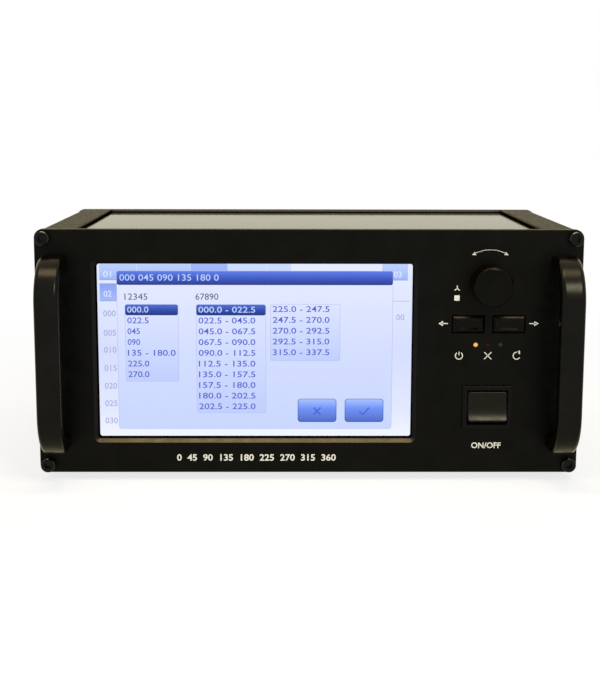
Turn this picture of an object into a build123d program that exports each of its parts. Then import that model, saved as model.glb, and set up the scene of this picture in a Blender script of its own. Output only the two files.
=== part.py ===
from build123d import *
import os
from math import cos, radians, sin, sqrt

# Antenna rotator controller: a desk-top case of two aluminium side rails, two sliding covers and
# two end panels. The front panel carries a 7 inch touch display, a push-turn knob, two arrow
# buttons, three indicator lights, a rocker switch and two bow handles.
#
# Lengths are in millimetres. The pieces are drawn about the middle of the front panel's face:
# X runs to the right, Y runs from that face into the case and Z runs up. save() then moves each
# piece so that the model's origin lies at the middle of its footprint, on the table.

# ---- case ----
PANEL_T = 4.0           # front panel thickness
LEFT_RIM = 23.8         # panel's left edge to the display glass
RIGHT_RIM = 22.3        # panel's right edge to the control board
MIDDLE_GAP = 5.5        # display glass to the control board
GLASS_RIM = 10.2        # panel's upper and lower edges to the display glass
CORNER_R = 4.3          # rounded corners of the panels and rails
EDGE_BREAK = 0.3        # small bevel around the front panel
REAR_T = 3.0            # rear panel thickness
RAIL_INSET = 1.3        # rail's outer face inside the panel's edge
RAIL_WIDTH = 18.7       # side rail, across
RAIL_WALL = 2.5         # side rail's outer wall
RAIL_LIP = 1.7          # lip under the cover's groove
RAIL_BEVEL = 0.4        # bevel on the rail's inner edge
COVER_DROP = 1.6        # cover's face below the top of the rail
COVER_T = 1.5           # sheet of the covers
COVER_SLIP = 0.1        # gap at the inner face and the end of a cover in its groove
COVER_OVER = 0.8        # gap at its outer face, open along the rail
GROOVE_DEEP = 5.0       # how far the cover's groove goes into the rail
REAR_GAP = 0.9          # gap between the covers and the rear panel
FOOT_LIFT = 4.0         # rails stand this far above the table
FOOT_R = 8.0            # rubber foot
FOOT_IN = 12.8          # feet, in from the rails
FOOT_FRONT = 28.0       # front feet, behind the front face
FOOT_BEFORE = 23.5      # back feet, before the rear face
FOOT_PLAY = 0.5         # around the screw's head in the foot

# ---- M4 and M3 hardware ----
M4_R = 2.0              # M4 thread
M4_HEAD_R = 3.5
M4_HEAD_H = 4.0
M4_HEX = 3.0            # hexagon socket, across flats
M4_HOLE_R = 2.2
M3_R = 1.5              # M3 thread
M3_HEAD_R = 2.75
M3_HEAD_H = 2.0
M3_NUT = 5.5            # nut, across flats
M3_NUT_H = 2.4
M3_HOLE_R = 1.7
THREAD_GAP = 0.02       # between a thread and its hole
SCREW_IN = 4.3          # corner screws, in from the panel's edges
SCREW_GRIP = 10.0       # corner screw's length in the rail
BOSS_R = 3.3            # screw channel in the rail

# ---- handles ----
HANDLE_IN = 9.8         # middle of a handle, in from the panel's edge
HANDLE_DOWN = 16.2      # its screws, in from the panel's upper and lower edges
HANDLE_REACH = 29.5     # panel to the front of the grip
HANDLE_WIDE = 11.6
HANDLE_DEEP = 8.0
HANDLE_BEND = 17.5      # bend, at the middle of the bar
HANDLE_ROUND = 2.2      # rounding of the bar's edges
HANDLE_THREAD = 6.0     # screw's length in the handle

# ---- display ----
ACTIVE_W = 154.08       # lit area of a 7 inch, 800 x 480 screen
ACTIVE_H = 85.92
WINDOW_MARGIN = 0.5     # window beyond the lit area, each side
WINDOW_BEVEL = 1.7
GASKET_T = 0.3
GASKET_RIM = 1.0        # gasket's opening beyond the window, each side
WINDOW_ROUND = 1.4      # rounded corners of the window
GLASS_SIDE = 5.46       # touch glass and module beyond the lit area, left and right
GLASS_END = 7.04        # the same, above and below
GLASS_T = 1.4
MODULE_T = 5.7
CLAMP_T = 1.0           # clamp strips behind the module
CLAMP_OVER = 5.0        # strip's overlap on the module
CLAMP_FLANGE = 5.0
CLAMP_SPAN = 64.0       # clamp studs each side of the screen's middle
PCB_T = 1.6
DISPLAY_PCB_W = 140.0
DISPLAY_PCB_H = 76.0
DISPLAY_GAP = 5.0       # display board behind the module
SPACER_R = 2.75

# ---- control cluster ----
KNOB_OVER = 1.5         # knob's axis, right of the board's middle
KNOB_Z = 34.05
KNOB_R = 9.6
KNOB_REACH = 15.6       # panel to the knob's face
KNOB_GAP = 1.0          # panel to the knob's skirt
KNOB_EDGE = 1.5         # rounding of its front edge
KNOB_BREAK = 0.45       # chamfer of its back edge
GRUB_IN = 0.9           # set screw's end, in from the skirt's surface
KNOB_PRESS = 0.5        # push travel
SKIRT_WALL = 1.9
SKIRT_DEEP = 3.8
SHAFT_R = 3.0
SHAFT_FLAT = 1.5        # flat's distance from the shaft's axis
SHAFT_IN_KNOB = 9.0     # shaft's length inside the knob
TAIL_R = 2.0
RUN_FIT = 0.05          # radial play of a turning or sliding fit
FREE_GAP = 0.35         # air around a moving piece that isn't guided there
BUSH_R = 3.5            # encoder's threaded bush
BUSH_REACH = 3.0
ENCODER_NUT = 10.0      # across flats
ENCODER_NUT_H = 2.0
ENCODER_W = 12.4
ENCODER_H = 13.2
ROTOR_R = 4.8
ROTOR_T = 2.4
JOURNAL_R = 3.6
BUTTON_W = 15.0
BUTTON_H = 7.8
BUTTON_Z = 14.1
BUTTON_X = 19.9 / 2     # buttons each side of the knob's axis
BUTTON_PROUD = 1.2
BUTTON_BEVEL = 0.8
BUTTON_GAP = 0.6        # button to its hole's edge
BUTTON_FLANGE = 1.2     # stop flange behind the panel, each side and thick
BUTTON_PRESS = 0.8
DISH_DEEP = 0.7
DISH_SLOPE = 55.0       # slope of the dish's walls, in degrees from upright
PLUNGER_R = 3.2
SWITCH_W = 12.0
SWITCH_T = 3.6
LED_R = 1.05
LED_Z = 3.9
LED_STEP = 6.05
LED_PROUD = 0.3
LED_COLLAR_R = 1.8
CHIP_T = 1.4            # LED chips on the board
BOARD_GAP = 7.0         # control board behind the panel
BOARD_W = 49.0
BOARD_TOP = 50.5
BOARD_LOW = -9.5
STUD_SPAN = 15.0        # studs each side of the control board's middle
STUD_IN = 3.5           # studs and screws, in from the edges of a board
STUD_GRIP = 2.2         # studs pressed this deep into the panel
STUD_OVER = 1.0         # stud beyond its nut

# ---- power switch ----
POWER_OVER = 1.7        # rocker's middle, right of the board's middle
POWER_Z = -27.1
BEZEL_W = 24.6
BEZEL_H = 21.4
BEZEL_T = 1.6
BEZEL_ROUND = 1.0
ROCKER_W = 19.3
ROCKER_R = 8.3          # ends of the rocker, about its pivot
ROCKER_TILT = 9.0       # degrees each way from level
PIVOT_DEEP = 1.5        # pivot behind the panel's face
PIVOT_R = 1.5
ROCKER_FACE = 4.4       # rocker's front corners, before the pivot
ROCKER_DISH = 1.4
ROCKER_CORNER = 1.1     # rounded corners of the rocker, from the front
ROCKER_CUT = 0.8        # rocker's back, behind the pivot
SWITCH_WALL = 1.6
SWITCH_RIM = 1.2
SWITCH_WELL = 8.0       # depth of the hollow for the rocker
SWITCH_DEEP = 20.0
BLADE_W = 6.3
BLADE_T = 0.8
BLADE_L = 8.0

# ---- inside ----
STANDOFF_H = 6.0
MAIN_W = 110.0          # main board
MAIN_L = 78.5
MAIN_IN = 8.8           # main board, in from the left rail
MAIN_FRONT = 58.0       # its front edge, behind the front face
MAIN_BEFORE = 5.0       # its back edge, before the rear face
COIL_GAP = 12.0         # transformer, right of the main board
COIL_BEFORE = 12.5      # transformer, before the rear panel
COIL_R = 40.0
COIL_HOLE_R = 13.0
COIL_H = 36.0
COIL_ROUND = 9.0
PAD_T = 1.5
PAD_R = 34.0
WASHER_R = 30.0
WASHER_T = 1.5
M6_R = 3.0
M6_NUT = 10.0
M6_NUT_H = 5.0
M6_HEAD_R = 5.5
M6_HEAD_H = 3.0
RELAY_W = 15.5
RELAY_L = 19.0
RELAY_H = 15.5
RELAY_IN = 3.0          # relays, in from the board's front edge
RELAY_GAP = 2.8
CAN_R = 9.0
CAN_H = 30.0
SINK_L = 44.0
SINK_W = 20.0
SINK_H = 32.0
FIN_T = 1.4
FIN_COUNT = 8
SINK_GAP = 5.0          # between the heatsink and the terminal header
SINK_IN = 8.0           # heatsink, in from the board's left edge
CHIP_W = 14.0           # largest chip
CHIP_STEP = 18.0
CHIP_IN = 12.6          # middle of the last chip, in from the board's right edge

# ---- rear ----
STUD_REACH = 12.0       # ground stud beyond the rear panel
GROUND_IN = 82.8        # ground stud, in from the panel's right edge
GROUND_Z = -38.0
INLET_IN = 44.8         # inlet's middle, in from the panel's right edge
INLET_Z = 20.0
INLET_FLANGE_W = 50.0
INLET_FLANGE_H = 34.0
INLET_FLANGE_T = 3.0
INLET_ROUND = 3.0
INLET_PITCH = 40.0      # spacing of its two screws
INLET_W = 28.0
INLET_H = 30.0
INLET_DEEP = 23.5
COUPLER_W = 24.6        # socket for the mains connector
COUPLER_H = 17.0
COUPLER_DEEP = 16.0
COUPLER_UP = 4.8        # socket's middle above the inlet's middle
COUPLER_CUT = 4.5       # cut corners of the socket
PIN_STEP = 7.0          # line and neutral pins each side of the middle
PIN_W = 2.0
PIN_H = 4.0
PIN_L = 14.0
EARTH_UP = 4.0          # earth pin above the other two
DRAWER_W = 24.4
DRAWER_H = 7.3
DRAWER_DEEP = 16.0
DRAWER_DOWN = 9.6       # drawer's middle below the inlet's middle
DRAWER_LIP = 2.5
DRAWER_RIM = 1.0        # lip beyond the drawer, each side, and floor of the tray
DRAWER_SLIP = 0.2
DRAWER_OUT = 13.0       # how far the drawer pulls out
FUSE_R = 2.5
FUSE_L = 20.0
TERMINAL_WAYS = 8
TERMINAL_STEP = 5.08
TERMINAL_OVER = 26.0    # terminal's middle, in from the board's left edge
TERMINAL_PIN = 1.0
HEADER_H = 8.5
HEADER_L = 14.0
HEADER_WALL = 0.9
HEADER_DEEP = 9.0
PLUG_H = 11.0
PLUG_OUT = 9.5          # plug beyond the rear panel
PLUG_SLIP = 0.2
PLUG_PULL = 9.0         # travel until the plug is free
NET_OVER = 66.0         # network socket's middle, in from the board's left edge
NET_W = 16.0
NET_H = 13.5
NET_L = 21.0
NET_BORE_W = 11.8
NET_BORE_H = 8.4
NET_BORE_DEEP = 13.0
USB_OVER = 90.5         # service socket's middle, in from the board's left edge
USB_W = 12.0
USB_H = 11.0
USB_L = 16.0
USB_WALL = 1.6
USB_BORE_DEEP = 9.0
USB_TONGUE_W = 5.6
USB_TONGUE_H = 3.2
PORT_GAP = 0.25         # cut-out beyond a connector, each side
VENT_COUNT = 14
VENT_STEP = 7.0
VENT_W = 3.0
VENT_H = 34.0
VENT_OVER = 74.0        # vents' middle, in from the board's left edge
VENT_Z = 20.0

# ---- places worked out from the sizes above ----
GLASS_W = ACTIVE_W + 2 * GLASS_SIDE
GLASS_H = ACTIVE_H + 2 * GLASS_END
PANEL_W = LEFT_RIM + GLASS_W + MIDDLE_GAP + BOARD_W + RIGHT_RIM
PANEL_H = GLASS_H + 2 * GLASS_RIM
CASE_DEPTH = MAIN_FRONT + MAIN_L + MAIN_BEFORE      # from the front face to the rear face
RAIL_OUT = PANEL_W / 2 - RAIL_INSET
RAIL_IN = RAIL_OUT - RAIL_WIDTH
TOP = PANEL_H / 2
COVER_FACE = TOP - COVER_DROP
COVER_BACK = COVER_FACE - COVER_T
GROOVE_LOW = COVER_BACK - COVER_SLIP
FLANGE_LOW = GROOVE_LOW - RAIL_LIP
REAR_FRONT = CASE_DEPTH - REAR_T
SCREW_X = PANEL_W / 2 - SCREW_IN
SCREW_Z = TOP - SCREW_IN
FOOT_X = RAIL_IN - FOOT_IN
FOOT_BACK = CASE_DEPTH - FOOT_BEFORE
HANDLE_X = PANEL_W / 2 - HANDLE_IN
HANDLE_Z = TOP - HANDLE_DOWN
SCREEN_X = LEFT_RIM + GLASS_W / 2 - PANEL_W / 2
BOARD_X = PANEL_W / 2 - RIGHT_RIM - BOARD_W / 2
KNOB_X = BOARD_X + KNOB_OVER
POWER_X = BOARD_X + POWER_OVER
FLOOR = -COVER_BACK                     # inner face of the bottom cover
WINDOW_W = ACTIVE_W + 2 * WINDOW_MARGIN
WINDOW_H = ACTIVE_H + 2 * WINDOW_MARGIN
GLASS_FACE = PANEL_T + GASKET_T
MODULE_FACE = GLASS_FACE + GLASS_T
MODULE_BACK = MODULE_FACE + MODULE_T
CLAMP_Z = (GLASS_H / 2 + COVER_BACK) / 2
CONTROL_FACE = PANEL_T + BOARD_GAP      # front face of the control board
CONTROL_BACK = CONTROL_FACE + PCB_T
DISPLAY_FACE = MODULE_BACK + DISPLAY_GAP
DISPLAY_BACK = DISPLAY_FACE + PCB_T
BUTTONS = {"left": KNOB_X - BUTTON_X, "right": KNOB_X + BUTTON_X}
LIGHTS = {"amber": KNOB_X - LED_STEP, "red": KNOB_X, "green": KNOB_X + LED_STEP}
MAIN_LEFT = MAIN_IN - RAIL_IN
MAIN_RIGHT = MAIN_LEFT + MAIN_W
MAIN_BACK = MAIN_FRONT + MAIN_L
COIL_X = MAIN_RIGHT + COIL_GAP + COIL_R
COIL_Y = REAR_FRONT - COIL_BEFORE - COIL_R
GROUND_X = PANEL_W / 2 - GROUND_IN
INLET_X = PANEL_W / 2 - INLET_IN
TERMINAL_X = MAIN_LEFT + TERMINAL_OVER
NET_X = MAIN_LEFT + NET_OVER
USB_X = MAIN_LEFT + USB_OVER
VENT_X = MAIN_LEFT + VENT_OVER
MAIN_LOW = FLOOR + STANDOFF_H
MAIN_TOP = MAIN_LOW + PCB_T
TERMINAL_W = TERMINAL_WAYS * TERMINAL_STEP + 2 * HEADER_WALL
OVERALL_DEPTH = HANDLE_REACH + CASE_DEPTH + STUD_REACH
FRONT_Y = HANDLE_REACH - OVERALL_DEPTH / 2
MIDDLE_Z = FOOT_LIFT + TOP
BOTH = (-1, 1)


# ---- helpers ----
def around(middle, size):
    """Limits of a length centred on a place."""
    return (middle - size / 2, middle + size / 2)


def block(x_limits, y_limits, z_limits):
    """Box between three pairs of limits."""
    limits = (x_limits, y_limits, z_limits)
    middle = [(low + high) / 2 for low, high in limits]
    sizes = [high - low for low, high in limits]
    return Pos(*middle) * Box(*sizes)


def rod(x, y_limits, z, radius):
    """Round rod along Y."""
    low, high = y_limits
    return Pos(x, (low + high) / 2, z) * Rot(90, 0, 0) * Cylinder(radius, high - low)


def post(x, y, z_limits, radius):
    """Round post along Z."""
    low, high = z_limits
    return Pos(x, y, (low + high) / 2) * Cylinder(radius, high - low)


def pin_across(x_limits, y, z, radius):
    """Round pin along X."""
    low, high = x_limits
    return Pos((low + high) / 2, y, z) * Rot(0, 90, 0) * Cylinder(radius, high - low)


def plate(section, y_limits):
    """Section drawn in X and Z, extruded between two values of Y."""
    low, high = y_limits
    return extrude(Plane.XZ.offset(-low) * section, amount=low - high)


def side_plate(section, x_limits):
    """Section drawn in Y and Z, extruded between two values of X."""
    low, high = x_limits
    return extrude(Plane.YZ.offset(low) * section, amount=high - low)


def frame(x, z, outer, inner, y_limits):
    """Flat rectangular frame about (x, z)."""
    section = Rectangle(*outer) - Rectangle(*inner)
    return plate(Pos(x, z) * section, y_limits)


def screw(radius, length, head_r, head_h, hexagon):
    """Cap screw along Z, its head above the origin and its thread below."""
    head = Pos(0, 0, head_h / 2) * Cylinder(head_r, head_h)
    head = chamfer(head.edges().group_by(Axis.Z)[-1], head_r / 10)
    socket = RegularPolygon(hexagon / 2, 6, major_radius=False)
    head -= extrude(Pos(0, 0, head_h) * socket, amount=-head_h / 2)
    return head + Pos(0, 0, -length / 2) * Cylinder(radius, length)


def nut(across, height, bore_r):
    """Hexagon nut standing on the origin."""
    section = RegularPolygon(across / 2, 6, major_radius=False) - Circle(bore_r)
    return extrude(section, amount=height)


def save(name, *solids):
    """Write one node, moved to the model's origin."""
    place = Pos(0, FRONT_Y, MIDDLE_Z)
    moved = [place * solid for solid in solids]
    export_step(Compound(children=moved), f"parts/{name}.step")


FACING_FRONT = Rot(90, 0, 0)            # a screw's head turned towards the user
FACING_BACK = Rot(-90, 0, 0)            # a screw's head turned away from the user


# ---- case ----
def corner_places():
    """The four corner screws, as seen from the front."""
    return [(sx * SCREW_X, sz * SCREW_Z) for sx in BOTH for sz in BOTH]


def handle_holes():
    """The four handle screws."""
    return [(sx * HANDLE_X, sz * HANDLE_Z) for sx in BOTH for sz in BOTH]


def clamp_studs():
    """Studs of the display's clamp strips."""
    return [(SCREEN_X + sx * CLAMP_SPAN, sz * CLAMP_Z) for sx in BOTH for sz in BOTH]


def control_studs():
    """Studs of the control board."""
    heights = (BOARD_LOW + STUD_IN, BOARD_TOP - STUD_IN)
    return [(BOARD_X + sx * STUD_SPAN, z) for sx in BOTH for z in heights]


def front_panel():
    outline = RectangleRounded(PANEL_W, PANEL_H, CORNER_R)
    panel = plate(outline, (0, PANEL_T))
    panel = chamfer(panel.faces().sort_by(Axis.Y)[0].edges(), EDGE_BREAK)
    window = plate(Pos(SCREEN_X, 0) * RectangleRounded(WINDOW_W, WINDOW_H, WINDOW_ROUND), (0, PANEL_T))
    inward = Plane(origin=(SCREEN_X, 0, 0), x_dir=(1, 0, 0), z_dir=(0, 1, 0))
    size = (WINDOW_W + 2 * WINDOW_BEVEL, WINDOW_H + 2 * WINDOW_BEVEL)
    mouth = RectangleRounded(*size, WINDOW_ROUND + WINDOW_BEVEL)
    panel -= window + extrude(inward * mouth, amount=WINDOW_BEVEL, taper=45)
    for x, z in corner_places() + handle_holes():
        panel -= rod(x, (0, PANEL_T), z, M4_HOLE_R)
    for x, z in clamp_studs() + control_studs():
        panel -= rod(x, (PANEL_T - STUD_GRIP, PANEL_T), z, M3_R + THREAD_GAP)
    panel -= rod(KNOB_X, (0, PANEL_T), KNOB_Z, BUSH_R + THREAD_GAP)
    for x in BUTTONS.values():
        size = (BUTTON_W + 2 * BUTTON_GAP, BUTTON_H + 2 * BUTTON_GAP)
        panel -= plate(Pos(x, BUTTON_Z) * Rectangle(*size), (0, PANEL_T))
    for x in LIGHTS.values():
        panel -= rod(x, (0, PANEL_T), LED_Z, LED_R + RUN_FIT)
    size = (housing_width() + 2 * RUN_FIT, housing_height() + 2 * RUN_FIT)
    return panel - plate(Pos(POWER_X, POWER_Z) * Rectangle(*size), (0, PANEL_T))


def port(x, width, height):
    """Cut-out for a connector that stands on the main board."""
    sides = around(x, width + 2 * PORT_GAP)
    return block(sides, (REAR_FRONT, CASE_DEPTH), (MAIN_TOP - PORT_GAP, MAIN_TOP + height + PORT_GAP))


def rear_panel():
    panel = plate(RectangleRounded(PANEL_W, PANEL_H, CORNER_R), (REAR_FRONT, CASE_DEPTH))
    panel = chamfer(panel.faces().sort_by(Axis.Y)[-1].edges(), EDGE_BREAK)
    through = (REAR_FRONT, CASE_DEPTH)
    for x, z in corner_places():
        panel -= rod(x, through, z, M4_HOLE_R)
    for side in BOTH:
        panel -= rod(INLET_X + side * INLET_PITCH / 2, through, INLET_Z, M3_HOLE_R)
    panel -= rod(GROUND_X, through, GROUND_Z, M4_HOLE_R)
    size = (INLET_W + 2 * PORT_GAP, INLET_H + 2 * PORT_GAP)
    panel -= plate(Pos(INLET_X, INLET_Z) * Rectangle(*size), through)
    panel -= port(TERMINAL_X, TERMINAL_W, HEADER_H)
    panel -= port(NET_X, NET_W, NET_H)
    panel -= port(USB_X, USB_W, USB_H)
    for index in range(VENT_COUNT):
        x = VENT_X + (index - (VENT_COUNT - 1) / 2) * VENT_STEP
        panel -= plate(Pos(x, VENT_Z) * SlotOverall(VENT_H, VENT_W, rotation=90), through)
    return panel


def right_rail():
    """Side rail: a channel with a cover groove and a screw channel at each end."""
    case = RectangleRounded(2 * RAIL_OUT, PANEL_H, CORNER_R)
    outer = case & Pos((RAIL_IN + RAIL_OUT) / 2, 0) * Rectangle(RAIL_WIDTH, PANEL_H)
    hollow_w = RAIL_WIDTH - RAIL_WALL
    section = outer - Pos(RAIL_IN + hollow_w / 2, 0) * Rectangle(hollow_w, 2 * FLANGE_LOW)
    groove_h = COVER_SLIP + COVER_T + COVER_OVER
    for side in BOTH:
        section += outer & Pos(SCREW_X, side * SCREW_Z) * Circle(BOSS_R)
        middle = side * (GROOVE_LOW + groove_h / 2)
        section -= Pos(RAIL_IN + GROOVE_DEEP / 2, middle) * Rectangle(GROOVE_DEEP, groove_h)
        corner = Pos(RAIL_IN, side * TOP) * Rot(0, 0, 45)
        section -= corner * Rectangle(RAIL_BEVEL * sqrt(2), RAIL_BEVEL * sqrt(2))
    for side in BOTH:
        section -= Pos(SCREW_X, side * SCREW_Z) * Circle(M4_R + THREAD_GAP)
    return plate(section, (PANEL_T, REAR_FRONT))


def cover_sheet():
    """Plain cover, as it lies at the top of the case."""
    half = RAIL_IN + GROOVE_DEEP - COVER_SLIP
    return block((-half, half), (PANEL_T, REAR_FRONT - REAR_GAP), (COVER_BACK, COVER_FACE))


def foot_places():
    """The four feet."""
    return [(sx * FOOT_X, y) for sx in BOTH for y in (FOOT_FRONT, FOOT_BACK)]


def standoff_places():
    """The four posts of the main board."""
    xs = (MAIN_LEFT + 2 * SPACER_R, MAIN_RIGHT - 2 * SPACER_R)
    ys = (MAIN_FRONT + 2 * SPACER_R, MAIN_BACK - 14 * SPACER_R)
    return [(x, y) for x in xs for y in ys]


def bottom_cover():
    sheet = mirror(cover_sheet(), about=Plane.XY)
    limits = (-COVER_FACE, -COVER_BACK)
    for x, y in foot_places() + standoff_places():
        sheet -= post(x, y, limits, M3_HOLE_R)
    sheet -= post(COIL_X, COIL_Y, limits, M6_R + 2 * THREAD_GAP)
    for index in range(VENT_COUNT):
        x = VENT_X + (index - (VENT_COUNT - 1) / 2) * VENT_STEP
        slot = Pos(x, (PANEL_T + MAIN_FRONT) / 2) * SlotOverall(VENT_H, VENT_W, rotation=90)
        sheet -= extrude(Pos(0, 0, -COVER_FACE) * slot, amount=COVER_T)
    return sheet


def corner_screws():
    """M4 cap screws that hold both panels on the rails."""
    front = screw(M4_R, PANEL_T + SCREW_GRIP, M4_HEAD_R, M4_HEAD_H, M4_HEX)
    back = screw(M4_R, REAR_T + SCREW_GRIP, M4_HEAD_R, M4_HEAD_H, M4_HEX)
    screws = [Pos(x, 0, z) * FACING_FRONT * front for x, z in corner_places()]
    return screws + [Pos(x, CASE_DEPTH, z) * FACING_BACK * back for x, z in corner_places()]


def handle(side):
    """Bow handle swept along a path with two round bends."""
    x = side * HANDLE_X
    front = HANDLE_DEEP / 2 - HANDLE_REACH
    corners = [(x, 0, HANDLE_Z), (x, front, HANDLE_Z), (x, front, -HANDLE_Z), (x, 0, -HANDLE_Z)]
    path = FilletPolyline(*corners, radius=HANDLE_BEND)
    start = Plane(origin=(x, 0, HANDLE_Z), x_dir=(1, 0, 0), z_dir=(0, -1, 0))
    bar = sweep(start * RectangleRounded(HANDLE_WIDE, HANDLE_DEEP, HANDLE_ROUND), path=path)
    for end in BOTH:
        bar -= rod(x, (-HANDLE_THREAD - M4_R / 2, 0), end * HANDLE_Z, M4_R + THREAD_GAP)
    return bar


def handle_screws():
    bolt = screw(M4_R, PANEL_T + HANDLE_THREAD, M4_HEAD_R, M4_HEAD_H, M4_HEX)
    return [Pos(x, PANEL_T, z) * FACING_BACK * bolt for x, z in handle_holes()]


def rubber_feet():
    """Feet with a recess for the screw's head."""
    low = -TOP - FOOT_LIFT
    feet = []
    for x, y in foot_places():
        foot = post(x, y, (low, -COVER_FACE), FOOT_R)
        foot = fillet(foot.edges().group_by(Axis.Z)[0], FOOT_LIFT / 4)
        foot -= post(x, y, (low, low + FOOT_LIFT * 0.75), M3_HEAD_R + FOOT_PLAY)
        feet.append(foot - post(x, y, (low, -COVER_FACE), M3_HOLE_R))
    return feet


def foot_screws():
    """M3 screws from below, into nuts inside the case."""
    seat = -TOP - FOOT_LIFT * 0.25
    length = FLOOR + M3_NUT_H - seat
    bolt = Rot(180, 0, 0) * screw(M3_R, length, M3_HEAD_R, M3_HEAD_H, M3_R)
    return [Pos(x, y, seat) * bolt for x, y in foot_places()]


# ---- display ----
def display_gasket():
    inner = (WINDOW_W + 2 * GASKET_RIM, WINDOW_H + 2 * GASKET_RIM)
    return frame(SCREEN_X, 0, (GLASS_W, GLASS_H), inner, (PANEL_T, GLASS_FACE))


def display_glass():
    sheet = block(around(SCREEN_X, GLASS_W), (GLASS_FACE, MODULE_FACE), around(0, GLASS_H))
    return chamfer(sheet.edges().filter_by(Axis.Y), GLASS_T / 2)


def display_module():
    """Screen module with a shallow recess in its back."""
    case = block(around(SCREEN_X, GLASS_W), (MODULE_FACE, MODULE_BACK), around(0, GLASS_H))
    case = chamfer(case.edges().filter_by(Axis.Y), GLASS_T / 2)
    hollow = (MODULE_BACK - GLASS_T / 2, MODULE_BACK)
    return case - block(around(SCREEN_X, DISPLAY_PCB_W / 2), hollow, around(0, DISPLAY_PCB_H / 2))


def display_clamps():
    """Two steel angle strips that hold the module against the panel."""
    strips = []
    low = GLASS_H / 2 - CLAMP_OVER
    high = CLAMP_Z + M3_NUT / 2
    ends = around(SCREEN_X, 2 * CLAMP_SPAN + 3 * M3_NUT)
    for side in BOTH:
        flat = block(ends, (MODULE_BACK, MODULE_BACK + CLAMP_T), (low, high))
        flange_y = (MODULE_BACK, MODULE_BACK + CLAMP_T + CLAMP_FLANGE)
        strip = flat + block(ends, flange_y, (low, low + CLAMP_T))
        for end in BOTH:
            strip -= rod(SCREEN_X + end * CLAMP_SPAN, flange_y, CLAMP_Z, M3_HOLE_R)
        strips.append(strip if side > 0 else mirror(strip, about=Plane.XY))
    return strips


def display_board_posts():
    """Four places where the display board is carried."""
    across = DISPLAY_PCB_W / 2 - STUD_IN
    up = DISPLAY_PCB_H / 2 - STUD_IN
    return [(SCREEN_X + sx * across, sz * up) for sx in BOTH for sz in BOTH]


def display_board():
    board = block(around(SCREEN_X, DISPLAY_PCB_W), (DISPLAY_FACE, DISPLAY_BACK),
                  around(0, DISPLAY_PCB_H))
    for x, z in display_board_posts():
        board -= rod(x, (DISPLAY_FACE, DISPLAY_BACK), z, M3_HOLE_R)
    return board


def board_spacers():
    """Sleeves that hold the display board and the control board off what is before them."""
    sleeves = []
    for x, z in display_board_posts():
        sleeve = rod(x, (MODULE_BACK, DISPLAY_FACE), z, SPACER_R)
        sleeves.append(sleeve - rod(x, (MODULE_BACK, DISPLAY_FACE), z, M3_R + THREAD_GAP))
    for x, z in control_studs():
        sleeve = rod(x, (PANEL_T, CONTROL_FACE), z, SPACER_R)
        sleeves.append(sleeve - rod(x, (PANEL_T, CONTROL_FACE), z, M3_R + THREAD_GAP))
    return sleeves


def panel_studs():
    """M3 studs pressed into the back of the front panel."""
    ends = {MODULE_BACK + CLAMP_T: clamp_studs(), CONTROL_BACK: control_studs()}
    studs = []
    for seat, places in ends.items():
        reach = seat + M3_NUT_H + STUD_OVER
        studs += [rod(x, (PANEL_T - STUD_GRIP, reach), z, M3_R) for x, z in places]
    return studs


def m3_nuts():
    """Nuts on the panel studs, the foot screws and the inlet screws."""
    plain = nut(M3_NUT, M3_NUT_H, M3_R + THREAD_GAP)
    clamp = MODULE_BACK + CLAMP_T
    nuts = [Pos(x, clamp, z) * FACING_BACK * plain for x, z in clamp_studs()]
    nuts += [Pos(x, CONTROL_BACK, z) * FACING_BACK * plain for x, z in control_studs()]
    nuts += [Pos(x, y, FLOOR) * plain for x, y in foot_places()]
    for side in BOTH:
        x = INLET_X + side * INLET_PITCH / 2
        nuts.append(Pos(x, REAR_FRONT, INLET_Z) * FACING_FRONT * plain)
    return nuts


# ---- control cluster ----
def control_board():
    board = block(around(BOARD_X, BOARD_W), (CONTROL_FACE, CONTROL_BACK), (BOARD_LOW, BOARD_TOP))
    for x, z in control_studs():
        board -= rod(x, (CONTROL_FACE, CONTROL_BACK), z, M3_HOLE_R)
    return board


def rotor_front():
    """Front face of the encoder's rotor: behind the shaft's shoulder at full press."""
    return PANEL_T + KNOB_PRESS + 2 * FREE_GAP


def encoder_body():
    """Encoder case with its threaded bush through the panel."""
    body = block(around(KNOB_X, ENCODER_W), (PANEL_T, CONTROL_FACE), around(KNOB_Z, ENCODER_H))
    body += rod(KNOB_X, (-BUSH_REACH, PANEL_T), KNOB_Z, BUSH_R)
    disc = rotor_front() + ROTOR_T / 2
    back = disc + ROTOR_T / 2 + FREE_GAP
    body -= rod(KNOB_X, (disc - FREE_GAP, back), KNOB_Z, ROTOR_R + FREE_GAP)
    body -= rod(KNOB_X, (rotor_front() - FREE_GAP, disc), KNOB_Z, JOURNAL_R + RUN_FIT)
    body -= rod(KNOB_X, (-BUSH_REACH, rotor_front()), KNOB_Z, SHAFT_R + RUN_FIT)
    return body - rod(KNOB_X, (disc, back + KNOB_PRESS), KNOB_Z, TAIL_R + FREE_GAP)


def tail_section(play):
    """The shaft's tail, round with a flat that drives the rotor."""
    radius = TAIL_R + play
    cut = TAIL_R / 2 + play
    return Circle(radius) - Pos(0, -cut - radius / 2) * Rectangle(2 * radius, radius)


def encoder_rotor():
    """Disc with a journal in front, driven by the flat on the shaft."""
    front = rotor_front()
    disc = front + ROTOR_T / 2
    rotor = rod(KNOB_X, (disc, disc + ROTOR_T / 2), KNOB_Z, ROTOR_R)
    rotor += rod(KNOB_X, (front, disc), KNOB_Z, JOURNAL_R)
    hole = Pos(KNOB_X, KNOB_Z) * tail_section(RUN_FIT)
    return rotor - plate(hole, (front, front + ROTOR_T))


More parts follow.
